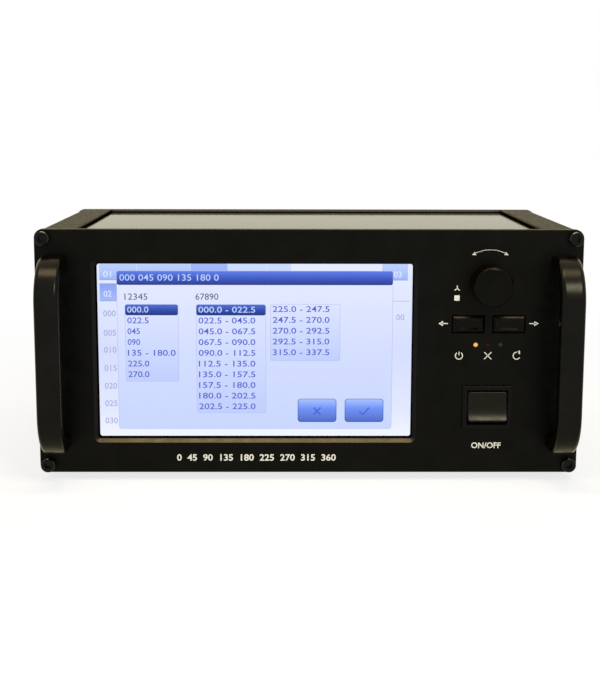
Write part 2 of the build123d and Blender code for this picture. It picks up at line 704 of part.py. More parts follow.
def encoder_shaft():
    """Shaft with a flat for the knob's screw, and a tail that slides in the rotor."""
    end = KNOB_GAP + SKIRT_DEEP + SHAFT_IN_KNOB
    shaft = rod(KNOB_X, (-end, PANEL_T + FREE_GAP), KNOB_Z, SHAFT_R)
    flat_z = (KNOB_Z - 2 * SHAFT_R, KNOB_Z - SHAFT_FLAT)
    shaft -= block(around(KNOB_X, 2 * SHAFT_R), (-end, -KNOB_GAP - SKIRT_DEEP), flat_z)
    tail = Pos(KNOB_X, KNOB_Z) * tail_section(0)
    return shaft + plate(tail, (PANEL_T + FREE_GAP, rotor_front() + ROTOR_T))


def encoder_nut():
    ring = nut(ENCODER_NUT, ENCODER_NUT_H, BUSH_R + THREAD_GAP)
    return Pos(KNOB_X, 0, KNOB_Z) * FACING_FRONT * ring


def set_screw_place():
    """Depth of the knob's grub screw."""
    return -KNOB_GAP - SKIRT_DEEP - SHAFT_IN_KNOB / 2


def control_knob():
    """Turned knob, hollow behind, with a bore that matches the flatted shaft."""
    knob = rod(KNOB_X, (-KNOB_REACH, -KNOB_GAP), KNOB_Z, KNOB_R)
    knob = fillet(knob.edges().group_by(Axis.Y)[0], KNOB_EDGE)
    knob = chamfer(knob.edges().group_by(Axis.Y)[-1], KNOB_BREAK)
    skirt = -KNOB_GAP - SKIRT_DEEP
    knob -= rod(KNOB_X, (skirt, -KNOB_GAP), KNOB_Z, KNOB_R - SKIRT_WALL)
    bore = rod(KNOB_X, (skirt - SHAFT_IN_KNOB, skirt), KNOB_Z, SHAFT_R + THREAD_GAP)
    flat_z = (KNOB_Z - 2 * SHAFT_R, KNOB_Z - SHAFT_FLAT - THREAD_GAP)
    bore -= block(around(KNOB_X, 3 * SHAFT_R), (skirt - SHAFT_IN_KNOB, skirt), flat_z)
    y = set_screw_place()
    return knob - bore - post(KNOB_X, y, (KNOB_Z - KNOB_R, KNOB_Z), M3_R + THREAD_GAP)


def knob_set_screw():
    """Grub screw on the shaft's flat."""
    outer = KNOB_Z - KNOB_R + GRUB_IN
    inner = KNOB_Z - SHAFT_FLAT
    y = set_screw_place()
    grub = post(KNOB_X, y, (outer, inner), M3_R)
    socket = RegularPolygon(M3_R / 2, 6, major_radius=False)
    return grub - extrude(Pos(KNOB_X, y, outer) * socket, amount=M3_R)


def switch_face():
    """Front face of the button switches."""
    return CONTROL_FACE - SWITCH_T


def button_cap(x):
    """Arrow button: bevelled cap with a dished middle, a stop flange and a plunger."""
    cap = block(around(x, BUTTON_W), (-BUTTON_PROUD, PANEL_T + BUTTON_FLANGE),
                around(BUTTON_Z, BUTTON_H))
    cap = chamfer(cap.faces().sort_by(Axis.Y)[0].edges(), BUTTON_BEVEL)
    inset = 3 * BUTTON_BEVEL
    dish = RectangleRounded(BUTTON_W - inset, BUTTON_H - inset, (BUTTON_H - inset) * 0.4)
    inward = Plane(origin=(x, -BUTTON_PROUD, BUTTON_Z), x_dir=(1, 0, 0), z_dir=(0, 1, 0))
    cap -= extrude(inward * dish, amount=DISH_DEEP, taper=DISH_SLOPE)
    behind = (PANEL_T + FREE_GAP, PANEL_T + BUTTON_FLANGE)
    size = (BUTTON_W + 2 * BUTTON_FLANGE, BUTTON_H + 2 * BUTTON_FLANGE)
    cap += block(around(x, size[0]), behind, around(BUTTON_Z, size[1]))
    stem = (PANEL_T + BUTTON_FLANGE, switch_face() + SWITCH_T / 3)
    return cap + rod(x, stem, BUTTON_Z, PLUNGER_R)


def button_switches():
    """Two key switches on the control board, each with a well for its button's plunger."""
    bodies = []
    for x in BUTTONS.values():
        body = block(around(x, SWITCH_W), (switch_face(), CONTROL_FACE),
                     around(BUTTON_Z, SWITCH_W))
        well = (switch_face(), CONTROL_FACE - SWITCH_T / 6)
        bodies.append(body - rod(x, well, BUTTON_Z, PLUNGER_R + FREE_GAP))
    return bodies


def led_lens(x):
    """Light pipe: a domed rod with a collar behind the panel."""
    back = CONTROL_FACE - CHIP_T
    lens = rod(x, (-LED_PROUD, back), LED_Z, LED_R)
    lens = fillet(lens.edges().group_by(Axis.Y)[0], LED_R * 0.6)
    return lens + rod(x, (PANEL_T, PANEL_T + LED_R), LED_Z, LED_COLLAR_R)


def led_chips():
    size = 2 * LED_COLLAR_R
    depth = (CONTROL_FACE - CHIP_T, CONTROL_FACE)
    return [block(around(x, size), depth, around(LED_Z, LED_R * 2)) for x in LIGHTS.values()]


# ---- power switch ----
def housing_width():
    """Width of the switch body behind the panel."""
    return ROCKER_W + 2 * FREE_GAP + 2 * SWITCH_WALL


def housing_height():
    """Height of the switch body behind the panel."""
    return 2 * (ROCKER_R + FREE_GAP + SWITCH_RIM)


def power_switch_housing():
    """Snap-in body with a bezel, a well for the rocker and two pivot holes."""
    bezel = Pos(POWER_X, POWER_Z) * RectangleRounded(BEZEL_W, BEZEL_H, BEZEL_ROUND)
    body = plate(bezel, (-BEZEL_T, 0))
    body = fillet(body.faces().sort_by(Axis.Y)[0].edges(), BEZEL_T / 4)
    body += block(around(POWER_X, housing_width()), (0, SWITCH_DEEP),
                  around(POWER_Z, housing_height()))
    well = (ROCKER_W + 2 * FREE_GAP, 2 * (ROCKER_R + FREE_GAP))
    body -= plate(Pos(POWER_X, POWER_Z) * Rectangle(*well), (-BEZEL_T, SWITCH_WELL))
    return body - pin_across(around(POWER_X, housing_width()), PIVOT_DEEP, POWER_Z, PIVOT_R + RUN_FIT)


def power_rocker():
    """Rocker with round ends about its pivot and a dished face, its top pressed in."""
    chord = sqrt(ROCKER_R**2 - ROCKER_FACE**2)
    dish_r = (chord**2 + ROCKER_DISH**2) / (2 * ROCKER_DISH)
    section = Circle(ROCKER_R)
    section -= Pos(-(ROCKER_FACE - ROCKER_DISH) - dish_r, 0) * Circle(dish_r)
    section -= Pos(ROCKER_CUT + ROCKER_R, 0) * Rectangle(2 * ROCKER_R, 3 * ROCKER_R)
    section += Pos(ROCKER_FACE / 2, 0) * Rectangle(ROCKER_FACE, ROCKER_FACE)
    rocker = side_plate(section, around(0, ROCKER_W))
    ends = rocker.edges().filter_by(GeomType.CIRCLE).group_by(SortBy.RADIUS)[0]
    rocker = fillet(ends, ROCKER_CORNER)
    front = rocker.edges().group_by(Axis.Y)[0]
    rocker = fillet(front, ROCKER_DISH / 3)
    rocker += pin_across(around(0, housing_width()), 0, 0, PIVOT_R)
    return Pos(POWER_X, PIVOT_DEEP, POWER_Z) * Rot(-ROCKER_TILT, 0, 0) * rocker


# ---- inside ----
def standoffs():
    """Posts under the main board."""
    posts = []
    for x, y in standoff_places():
        column = post(x, y, (FLOOR, MAIN_LOW), SPACER_R)
        posts.append(column - post(x, y, (FLOOR, MAIN_LOW), M3_R + THREAD_GAP))
    return posts


def board_screws():
    """M3 screws through the boards into their posts, and from below into the standoffs."""
    short = screw(M3_R, PCB_T + DISPLAY_GAP * 0.8, M3_HEAD_R, M3_HEAD_H, M3_R)
    screws = [Pos(x, DISPLAY_BACK, z) * FACING_BACK * short for x, z in display_board_posts()]
    upper = screw(M3_R, PCB_T + STANDOFF_H * 0.45, M3_HEAD_R, M3_HEAD_H, M3_R)
    lower = Rot(180, 0, 0) * screw(M3_R, COVER_T + STANDOFF_H * 0.45, M3_HEAD_R, M3_HEAD_H, M3_R)
    for x, y in standoff_places():
        screws.append(Pos(x, y, MAIN_TOP) * upper)
        screws.append(Pos(x, y, -COVER_FACE) * lower)
    return screws


def main_board():
    board = block((MAIN_LEFT, MAIN_RIGHT), (MAIN_FRONT, MAIN_BACK), (MAIN_LOW, MAIN_TOP))
    for x, y in standoff_places():
        board -= post(x, y, (MAIN_LOW, MAIN_TOP), M3_HOLE_R)
    return board


def relays():
    """Three motor relays in a row near the front of the main board."""
    cases = []
    for index in range(3):
        x = MAIN_LEFT + 4 * SPACER_R + RELAY_W / 2 + index * (RELAY_W + RELAY_GAP)
        depth = (MAIN_FRONT + RELAY_IN, MAIN_FRONT + RELAY_IN + RELAY_L)
        case = block(around(x, RELAY_W), depth, (MAIN_TOP, MAIN_TOP + RELAY_H))
        cases.append(fillet(case.edges().group_by(Axis.Z)[-1], RELAY_W / 16))
    return cases


def capacitors():
    """Two supply capacitors."""
    cans = []
    for index in range(2):
        x = MAIN_RIGHT - 1.5 * CAN_R - index * 2.4 * CAN_R
        can = post(x, MAIN_FRONT + 2.2 * CAN_R, (MAIN_TOP, MAIN_TOP + CAN_H), CAN_R)
        cans.append(fillet(can.edges().group_by(Axis.Z)[-1], CAN_R / 9))
    return cans


def sink_place():
    """Middle of the heatsink, in front of the terminal header."""
    return (MAIN_LEFT + SINK_IN + SINK_L / 2, header_back() - HEADER_L - SINK_GAP - SINK_W / 2)


def heatsink():
    """Finned sink: a base plate with upright fins behind it."""
    x, y = sink_place()
    heights = (MAIN_TOP, MAIN_TOP + SINK_H)
    ends = around(x, SINK_L)
    sink = block(ends, (y - SINK_W / 2, y - SINK_W / 2 + 2 * FIN_T), heights)
    for index in range(FIN_COUNT):
        fin_x = ends[0] + FIN_T / 2 + index * (SINK_L - FIN_T) / (FIN_COUNT - 1)
        sink += block(around(fin_x, FIN_T), (y - SINK_W / 2, y + SINK_W / 2), heights)
    return sink


def power_transistors():
    """Drivers clamped on the sink's face."""
    x, y = sink_place()
    face = y - SINK_W / 2
    size = SINK_L / 4.4
    places = [x - SINK_L / 3, x, x + SINK_L / 3]
    return [block(around(place, size), (face - size / 2, face), (MAIN_TOP + size / 3, MAIN_TOP + 2 * size))
            for place in places]


def board_chips():
    """Processor and driver packages on the main board."""
    chips = []
    for index in range(3):
        size = CHIP_W / (1 + index / 2)
        x = MAIN_RIGHT - CHIP_IN - (2 - index) * CHIP_STEP
        y = CASE_DEPTH - NET_L - CHIP_W
        chips.append(block(around(x, size), around(y, size), (MAIN_TOP, MAIN_TOP + PCB_T)))
    return chips


def ring(outer_r, inner_r, z_limits):
    """Flat ring about the transformer's bolt."""
    return post(COIL_X, COIL_Y, z_limits, outer_r) - post(COIL_X, COIL_Y, z_limits, inner_r)


def coil_low():
    """Underside of the transformer's winding."""
    return FLOOR + PAD_T


def coil_high():
    """Top of the transformer's winding."""
    return coil_low() + COIL_H


def transformer_coil():
    """Taped toroid with rounded edges."""
    ring_w = COIL_R - COIL_HOLE_R
    section = Plane.XZ * Pos(COIL_HOLE_R + ring_w / 2, 0) * RectangleRounded(ring_w, COIL_H, COIL_ROUND)
    coil = revolve(section, axis=Axis.Z)
    return Pos(COIL_X, COIL_Y, coil_low() + COIL_H / 2) * coil


def transformer_pads():
    hole = M6_R + FREE_GAP
    lower = ring(PAD_R, hole, (FLOOR, coil_low()))
    return [lower, ring(PAD_R, hole, (coil_high(), coil_high() + PAD_T))]


def washer_top():
    """Upper face of the transformer's washer."""
    return coil_high() + PAD_T + WASHER_T


def transformer_washer():
    return ring(WASHER_R, M6_R + FREE_GAP, (coil_high() + PAD_T, washer_top()))


def transformer_bolt():
    """M6 bolt from below, with its nut on top."""
    length = washer_top() + M6_NUT_H + STUD_OVER + COVER_FACE
    bolt = Rot(180, 0, 0) * screw(M6_R, length, M6_HEAD_R, M6_HEAD_H, M6_R)
    top = Pos(COIL_X, COIL_Y, washer_top()) * nut(M6_NUT, M6_NUT_H, M6_R + THREAD_GAP)
    return [Pos(COIL_X, COIL_Y, -COVER_FACE) * bolt, top]


# ---- rear ----
def coupler_section(play):
    """Outline of the mains socket, with its two upper corners cut."""
    outline = Rectangle(COUPLER_W + 2 * play, COUPLER_H + 2 * play)
    return chamfer(outline.vertices().group_by(Axis.Y)[-1], COUPLER_CUT)


def drawer_box(play):
    """The fuse drawer's body, with some play around it."""
    face = CASE_DEPTH + INLET_FLANGE_T
    return block(around(INLET_X, DRAWER_W + 2 * play), (face - DRAWER_DEEP - play, face),
                 around(INLET_Z - DRAWER_DOWN, DRAWER_H + 2 * play))


def mains_inlet():
    """Inlet with a coupler socket above and a fuse drawer below."""
    face = CASE_DEPTH + INLET_FLANGE_T
    flange = RectangleRounded(INLET_FLANGE_W, INLET_FLANGE_H, INLET_ROUND)
    inlet = plate(Pos(INLET_X, INLET_Z) * flange, (CASE_DEPTH, face))
    inlet = chamfer(inlet.faces().sort_by(Axis.Y)[-1].edges(), INLET_FLANGE_T / 6)
    inlet += block(around(INLET_X, INLET_W), (CASE_DEPTH - INLET_DEEP, CASE_DEPTH),
                   around(INLET_Z, INLET_H))
    socket = Pos(INLET_X, INLET_Z + COUPLER_UP) * coupler_section(0)
    inlet -= plate(socket, (face - COUPLER_DEEP, face))
    for side in BOTH:
        inlet -= rod(INLET_X + side * INLET_PITCH / 2, (CASE_DEPTH, face), INLET_Z, M3_HOLE_R)
    for pin in inlet_pins(THREAD_GAP):
        inlet -= pin
    return inlet - drawer_box(DRAWER_SLIP)


def inlet_pins(play):
    """Line, neutral and earth pins, which run through the inlet to solder tabs."""
    face = CASE_DEPTH + INLET_FLANGE_T
    depth = (CASE_DEPTH - INLET_DEEP - BLADE_L, face - COUPLER_DEEP + PIN_L)
    middle = INLET_Z + COUPLER_UP
    places = [(-PIN_STEP, 0), (PIN_STEP, 0), (0, EARTH_UP)]
    width = PIN_W + 2 * play
    height = PIN_H + 2 * play
    return [block(around(INLET_X + x, width), depth, around(middle + z, height)) for x, z in places]


def mains_blades():
    """Brass blades of the inlet and of the power switch."""
    blades = inlet_pins(0)
    depth = (SWITCH_DEEP, SWITCH_DEEP + BLADE_L)
    for side in BOTH:
        for level in BOTH:
            x = POWER_X + side * housing_width() / 4
            z = POWER_Z + level * housing_height() / 4
            blades.append(block(around(x, BLADE_T), depth, around(z, BLADE_W)))
    return blades


def fuse_place():
    """Middle of the fuse, in Y and Z."""
    return (CASE_DEPTH + INLET_FLANGE_T - DRAWER_DEEP * 0.65, INLET_Z - DRAWER_DOWN)


def fuse_drawer():
    """Drawer with a finger lip and a tray for the fuse."""
    face = CASE_DEPTH + INLET_FLANGE_T
    y, z = fuse_place()
    drawer = drawer_box(0)
    lip = block(around(INLET_X, DRAWER_W + 2 * DRAWER_RIM), (face + DRAWER_SLIP, face + DRAWER_LIP),
                around(z, DRAWER_H + 2 * DRAWER_RIM))
    drawer += fillet(lip.edges().group_by(Axis.Y)[-1], DRAWER_LIP / 4)
    neck = (face - DRAWER_RIM, face + DRAWER_LIP / 2)
    drawer += block(around(INLET_X, DRAWER_W), neck, around(z, DRAWER_H))
    tray_z = (z - DRAWER_H / 2 + DRAWER_RIM, z + DRAWER_H / 2)
    return drawer - block(around(INLET_X, FUSE_L), around(y, 2 * FUSE_R), tray_z)


def mains_fuse():
    y, z = fuse_place()
    return pin_across(around(INLET_X, FUSE_L - 2 * RUN_FIT), y, z, FUSE_R - RUN_FIT)


def inlet_screws():
    face = CASE_DEPTH + INLET_FLANGE_T
    length = INLET_FLANGE_T + REAR_T + M3_NUT_H
    bolt = screw(M3_R, length, M3_HEAD_R, M3_HEAD_H, M3_R)
    places = [INLET_X + side * INLET_PITCH / 2 for side in BOTH]
    return [Pos(x, face, INLET_Z) * FACING_BACK * bolt for x in places]


def way_places():
    """Middle of each terminal way."""
    start = TERMINAL_X - (TERMINAL_WAYS - 1) * TERMINAL_STEP / 2
    return [start + index * TERMINAL_STEP for index in range(TERMINAL_WAYS)]


def header_back():
    """Rear end of the terminal header, just inside the rear panel's face."""
    return CASE_DEPTH - PORT_GAP


def rotator_header():
    """Shrouded header on the main board."""
    back = header_back()
    z = MAIN_TOP + HEADER_H / 2
    body = block(around(TERMINAL_X, TERMINAL_W), (back - HEADER_L, back), (MAIN_TOP, MAIN_TOP + HEADER_H))
    hollow = (TERMINAL_W - 2 * HEADER_WALL, HEADER_H - 2 * HEADER_WALL)
    body -= block(around(TERMINAL_X, hollow[0]), (back - HEADER_DEEP, back), around(z, hollow[1]))
    for x in way_places():
        pin = (back - HEADER_DEEP, back - HEADER_DEEP / 4)
        body += block(around(x, TERMINAL_PIN), pin, around(z, TERMINAL_PIN))
    return body


def rotator_plug():
    """Pluggable terminal block, with a wire hole and a screw well for each way."""
    back = header_back()
    z = MAIN_TOP + HEADER_H / 2
    width = TERMINAL_W - 2 * HEADER_WALL - 2 * PLUG_SLIP
    height = HEADER_H - 2 * HEADER_WALL - 2 * PLUG_SLIP
    outer = (CASE_DEPTH + PLUG_SLIP, CASE_DEPTH + PLUG_OUT)
    plug = block(around(TERMINAL_X, width), (back - HEADER_DEEP + PLUG_SLIP, outer[0]), around(z, height))
    shell = block(around(TERMINAL_X, TERMINAL_W), outer, around(z, PLUG_H))
    plug += chamfer(shell.edges().group_by(Axis.Y)[-1], PLUG_SLIP * 3)
    room = TERMINAL_PIN + 2 * FREE_GAP
    for x in way_places():
        plug -= block(around(x, room), (back - HEADER_DEEP, back), around(z, room))
        wire = (CASE_DEPTH + PLUG_OUT / 3, CASE_DEPTH + PLUG_OUT)
        plug -= block(around(x, TERMINAL_STEP * 0.55), wire, around(z - PLUG_H / 8, PLUG_H / 4))
        plug -= post(x, CASE_DEPTH + PLUG_OUT / 2, (z + PLUG_H / 4, z + PLUG_H / 2), TERMINAL_STEP * 0.36)
    return plug


def terminal_screws():
    """Slotted clamp screws in the plug's wells."""
    z = MAIN_TOP + HEADER_H / 2
    y = CASE_DEPTH + PLUG_OUT / 2
    radius = TERMINAL_STEP * 0.36 - THREAD_GAP
    screws = []
    for x in way_places():
        head = post(x, y, (z + PLUG_H / 4, z + PLUG_H * 0.42), radius)
        slot = (z + PLUG_H * 0.34, z + PLUG_H * 0.42)
        screws.append(head - block(around(x, radius / 2), around(y, 2 * radius), slot))
    return screws


def network_socket():
    """Shielded network jack, with the notch for its latch below."""
    heights = (MAIN_TOP, MAIN_TOP + NET_H)
    z = MAIN_TOP + NET_H / 2
    jack = block(around(NET_X, NET_W), (CASE_DEPTH - NET_L, CASE_DEPTH), heights)
    depth = (CASE_DEPTH - NET_BORE_DEEP, CASE_DEPTH)
    jack -= block(around(NET_X, NET_BORE_W), depth, around(z, NET_BORE_H))
    notch = (z - NET_BORE_H / 2 - USB_WALL, z)
    return jack - block(around(NET_X, NET_BORE_W / 2), depth, notch)


def usb_socket():
    """Square service socket with a tongue in the middle."""
    heights = (MAIN_TOP, MAIN_TOP + USB_H)
    z = MAIN_TOP + USB_H / 2
    body = block(around(USB_X, USB_W), (CASE_DEPTH - USB_L, CASE_DEPTH), heights)
    depth = (CASE_DEPTH - USB_BORE_DEEP, CASE_DEPTH)
    bore = (USB_W - 2 * USB_WALL, USB_H - 2 * USB_WALL)
    body -= block(around(USB_X, bore[0]), depth, around(z, bore[1]))
    tongue = (CASE_DEPTH - USB_BORE_DEEP, CASE_DEPTH - USB_WALL)
    return body + block(around(USB_X, USB_TONGUE_W), tongue, around(z, USB_TONGUE_H))


def ground_terminal():
    """Ground stud with a hexagonal collar outside the rear panel and a nut inside it."""
    across = M3_NUT + M4_R * 0.75
    height = M4_R * 1.6
    stud = rod(GROUND_X, (REAR_FRONT - height - STUD_OVER, CASE_DEPTH + STUD_REACH), GROUND_Z, M4_R)
    stud += Pos(GROUND_X, CASE_DEPTH, GROUND_Z) * FACING_BACK * nut(across, height, M4_R / 2)
    inner = Pos(GROUND_X, REAR_FRONT, GROUND_Z) * FACING_FRONT * nut(across, height, M4_R + THREAD_GAP)
    return [stud, inner]


# ---- write every node ----
os.makedirs("parts", exist_ok=True)

save("front_panel", front_panel())
save("rear_panel", rear_panel())
save("side_rail_right", right_rail())
save("side_rail_left", mirror(right_rail(), about=Plane.YZ))
save("top_cover", cover_sheet())
save("bottom_cover", bottom_cover())
save("corner_screws", *corner_screws())
save("handle_left", handle(-1))
save("handle_right", handle(1))
save("handle_screws", *handle_screws())
save("rubber_feet", *rubber_feet())
save("foot_screws", *foot_screws())
save("m3_nuts", *m3_nuts())

save("display_gasket", display_gasket())
save("display_glass", display_glass())
save("display_module", display_module())
save("display_clamps", *display_clamps())
save("display_board", display_board())
save("board_spacers", *board_spacers())
save("board_screws", *board_screws())
save("panel_studs", *panel_studs())

save("control_board", control_board())
save("encoder_body", encoder_body())
save("encoder_nut", encoder_nut())
save("encoder_rotor", encoder_rotor())
save("encoder_shaft", encoder_shaft())
save("control_knob", control_knob())
save("knob_set_screw", knob_set_screw())
for side, button_x in BUTTONS.items():
    save(f"button_{side}", button_cap(button_x))
save("button_switches", *button_switches())
for colour, light_x in LIGHTS.items():
    save(f"led_{colour}", led_lens(light_x))
save("led_chips", *led_chips())
save("power_switch_housing", power_switch_housing())
save("power_rocker", power_rocker())
save("mains_blades", *mains_blades())

save("main_board", main_board())
save("standoffs", *standoffs())
save("relays", *relays())
save("capacitors", *capacitors())
save("heatsink", heatsink())
save("power_transistors", *power_transistors())
save("board_chips", *board_chips())
save("transformer_coil", transformer_coil())
save("transformer_pads", *transformer_pads())
save("transformer_washer", transformer_washer())
save("transformer_bolt", *transformer_bolt())

save("mains_inlet", mains_inlet())
save("inlet_screws", *inlet_screws())
save("fuse_drawer", fuse_drawer())
save("mains_fuse", mains_fuse())
save("rotator_header", rotator_header())
save("rotator_plug", rotator_plug())
save("terminal_screws", *terminal_screws())
save("network_socket", network_socket())
save("usb_socket", usb_socket())
save("ground_terminal", *ground_terminal())
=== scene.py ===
"""Finishes, prints, lit menu and studio of a desk-top antenna rotator controller.

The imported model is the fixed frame. Lengths are in metres in that frame: X runs to the user's
right, Y runs from the front panel into the case and Z runs up from the table.
"""

from __future__ import annotations

import functools
import logging
import math
from dataclasses import dataclass, field, replace
from enum import Enum
from typing import Sequence

import bmesh
import bpy
from mathutils import Matrix, Vector


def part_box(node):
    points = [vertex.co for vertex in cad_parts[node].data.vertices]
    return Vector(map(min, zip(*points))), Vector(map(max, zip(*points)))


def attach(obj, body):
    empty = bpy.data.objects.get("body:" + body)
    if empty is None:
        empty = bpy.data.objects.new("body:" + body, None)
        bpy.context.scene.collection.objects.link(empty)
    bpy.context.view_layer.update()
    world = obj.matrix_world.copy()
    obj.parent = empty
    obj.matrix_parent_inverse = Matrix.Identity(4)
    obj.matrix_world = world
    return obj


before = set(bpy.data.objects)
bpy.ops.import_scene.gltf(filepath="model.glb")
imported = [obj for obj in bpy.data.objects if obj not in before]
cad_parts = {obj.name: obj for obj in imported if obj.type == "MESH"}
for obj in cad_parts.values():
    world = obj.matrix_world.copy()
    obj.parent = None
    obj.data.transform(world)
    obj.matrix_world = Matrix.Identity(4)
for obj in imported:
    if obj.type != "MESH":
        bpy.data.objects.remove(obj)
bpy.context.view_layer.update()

LOG = logging.getLogger("rotator_controller")
MM = 0.001

Colour = tuple[float, float, float, float]      # linear red, green and blue, and opacity
Pair = tuple[float, float]
Triple = tuple[float, float, float]
Stop = tuple[float, Colour]                     # a place on a ramp and the colour there
SocketValue = float | Sequence[float] | Vector | bpy.types.NodeSocket


def paint_colour(red: int, green: int, blue: int) -> Colour:
    """Turn a display colour into a linear one, by the usual curve of displays.

    Args:
        red: Red share, from 0 to 255.
        green: Green share, from 0 to 255.
        blue: Blue share, from 0 to 255.

    Returns:
        The linear colour with full opacity.
    """
    shares = [share / 255 for share in (red, green, blue)]
    linear = [s / 12.92 if s <= 0.04045 else ((s + 0.055) / 1.055) ** 2.4 for s in shares]
    return (linear[0], linear[1], linear[2], 1.0)


def scaled(colour: Colour, share: float) -> Colour:
    """The colour made lighter or darker by a share."""
    return (colour[0] * share, colour[1] * share, colour[2] * share, 1.0)


def shades(*stops: tuple[float, int, int, int]) -> tuple[Stop, ...]:
    """Display colours at heights from 0, the foot, to 1, the top."""
    return tuple((height, paint_colour(*colour)) for height, *colour in stops)


WHITE: Colour = (1.0, 1.0, 1.0, 1.0)
FAR = 10.0                  # metres, past the object on every side
PRINT_DEPTH = 0.03 * MM     # thickness of printed ink
FULL_TURN = 360             # degrees
QUARTER_TURN = FULL_TURN // 4


class Body(Enum):
    """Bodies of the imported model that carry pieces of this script."""

    CASE = "case"


class Slot(Enum):
    """Material slot names passed along with some new pieces, which nothing here reads."""

    SCREEN = "lit_screen"


class Facing(Enum):
    """Which way a flat drawing faces along Y."""

    FRONT = -1.0
    REAR = 1.0


class Align(Enum):
    """Where the given place lies in a line of figures."""

    LEFT = 0.0
    CENTRE = 0.5


@dataclass(frozen=True)
class NodeBox:
    """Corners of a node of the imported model, which places are worked out from."""

    low: Vector
    high: Vector

    @classmethod
    def of(cls, node: str) -> NodeBox:
        """The box of the named node at rest."""
        low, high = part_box(node)
        return cls(low, high)

    @property
    def middle(self) -> Vector:
        """Middle of the box."""
        return (self.low + self.high) / 2


class Shader:
    """Node tree of a material or of the world, with short calls that add and link nodes."""

    NOISE: Pair = (0.3, 0.7)    # stretch that noise seldom leaves
    MIX_INPUTS = (0, 6, 7)      # a Mix node's share and its two colours
    MIX_RESULT = 2              # and the colour that comes out

    def __init__(self, owner: bpy.types.Material | bpy.types.World) -> None:
        """Start an empty tree.

        Args:
            owner: The material or world that the tree belongs to.
        """
        owner.use_nodes = True
        self.owner = owner
        self.tree = owner.node_tree
        self.tree.nodes.clear()

    @classmethod
    def surface(cls, name: str) -> Shader:
        """The empty tree of a new material."""
        return cls(bpy.data.materials.new(name))

    def node(self, kind: str, values: dict[str | int, SocketValue]) -> bpy.types.ShaderNode:
        """Add a node and set or link its inputs.

        Args:
            kind: Blender's name of the node type.
            values: A constant or another node's output for each named input.

        Returns:
            The new node.
        """
        made = self.tree.nodes.new(kind)
        for name, value in values.items():
            if isinstance(value, bpy.types.NodeSocket):
                self.tree.links.new(value, made.inputs[name])
            else:
                made.inputs[name].default_value = value
        return made

    def place(self, stretch: Sequence[float] = (1.0, 1.0, 1.0)) -> bpy.types.NodeSocket:
        """Place on the piece in metres, stretched along each axis."""
        where = self.node("ShaderNodeTexCoord", {}).outputs["Object"]
        return self.node("ShaderNodeMapping", {"Vector": where, "Scale": stretch}).outputs["Vector"]

    def noise(self, where: bpy.types.NodeSocket, size: float,
              detail: float) -> bpy.types.NodeSocket:
        """Soft noise whose spots have about the given size in metres."""
        values = {"Vector": where, "Scale": 1 / size, "Detail": detail}
        return self.node("ShaderNodeTexNoise", values).outputs["Fac"]

    def spread(self, source: bpy.types.NodeSocket, low: float, high: float) -> bpy.types.NodeSocket:
        """Spread noise between two values.

        Args:
            source: The noise.
            low: Value at its lower end.
            high: Value at its upper end.

        Returns:
            The spread value.
        """
        values = {"Value": source, "From Min": self.NOISE[0], "From Max": self.NOISE[1],
                  "To Min": low, "To Max": high}
        return self.node("ShaderNodeMapRange", values).outputs["Result"]

    def between(self, share: bpy.types.NodeSocket, first: SocketValue,
                second: SocketValue) -> bpy.types.NodeSocket:
        """Mix two colours.

        Args:
            share: Share of the second colour, from 0 to 1.
            first: The first colour.
            second: The second colour.

        Returns:
            The mixed colour.
        """
        mix = self.tree.nodes.new("ShaderNodeMix")
        mix.data_type = "RGBA"
        for number, value in zip(self.MIX_INPUTS, (share, first, second)):
            if isinstance(value, bpy.types.NodeSocket):
                self.tree.links.new(value, mix.inputs[number])
            else:
                mix.inputs[number].default_value = value
        return mix.outputs[self.MIX_RESULT]

    def ramp(self, share: bpy.types.NodeSocket, stops: Sequence[Stop]) -> bpy.types.NodeSocket:
        """Run a colour through several stops.

        Args:
            share: Where the colour stands, from 0 to 1.
            stops: The places of the colours and the colours.

        Returns:
            The colour at that share.
        """
        made = self.node("ShaderNodeValToRGB", {"Fac": share})
        elements = made.color_ramp.elements
        elements.remove(elements[1])
        elements[0].position, elements[0].color = stops[0]
        for place, colour in stops[1:]:
            elements.new(place).color = colour
        return made.outputs["Color"]

    def inside(self, low: Triple, high: Triple) -> bpy.types.NodeSocket:
        """Tell whether a place lies in a box.

        Args:
            low: Lowest corner of the box, in metres on the piece.
            high: Its highest corner.

        Returns:
            1 in the box and 0 outside it.
        """
        middle, half = (Vector(high) + Vector(low)) / 2, (Vector(high) - Vector(low)) / 2
        here = self.vector_math("SUBTRACT", self.place(), middle)
        out = self.vector_math("SUBTRACT", self.vector_math("ABSOLUTE", here), half)
        axes = self.node("ShaderNodeSeparateXYZ", {"Vector": out}).outputs
        furthest = self.math("MAXIMUM", self.math("MAXIMUM", axes["X"], axes["Y"]), axes["Z"])
        return self.math("LESS_THAN", furthest, 0.0)

    def math(self, operation: str, *values: SocketValue) -> bpy.types.NodeSocket:
        """Do one sum on numbers.

        Args:
            operation: Blender's name of the sum.
            values: The numbers, or other nodes' outputs.

        Returns:
            The result.
        """
        made = self.node("ShaderNodeMath", dict(enumerate(values)))
        made.operation = operation
        return made.outputs[0]

    def vector_math(self, operation: str, *values: SocketValue) -> bpy.types.NodeSocket:
        """Do one sum on vectors.

        Args:
            operation: Blender's name of the sum.
            values: The vectors, or other nodes' outputs.

        Returns:
            The result.
        """
        made = self.node("ShaderNodeVectorMath", dict(enumerate(values)))
        made.operation = operation
        return made.outputs["Vector"]

    def finish(self, surface: bpy.types.ShaderNode) -> bpy.types.Material:
        """Link the surface to the output and hand over the material."""
        self.node("ShaderNodeOutputMaterial", {"Surface": surface.outputs[0]})
        return self.owner


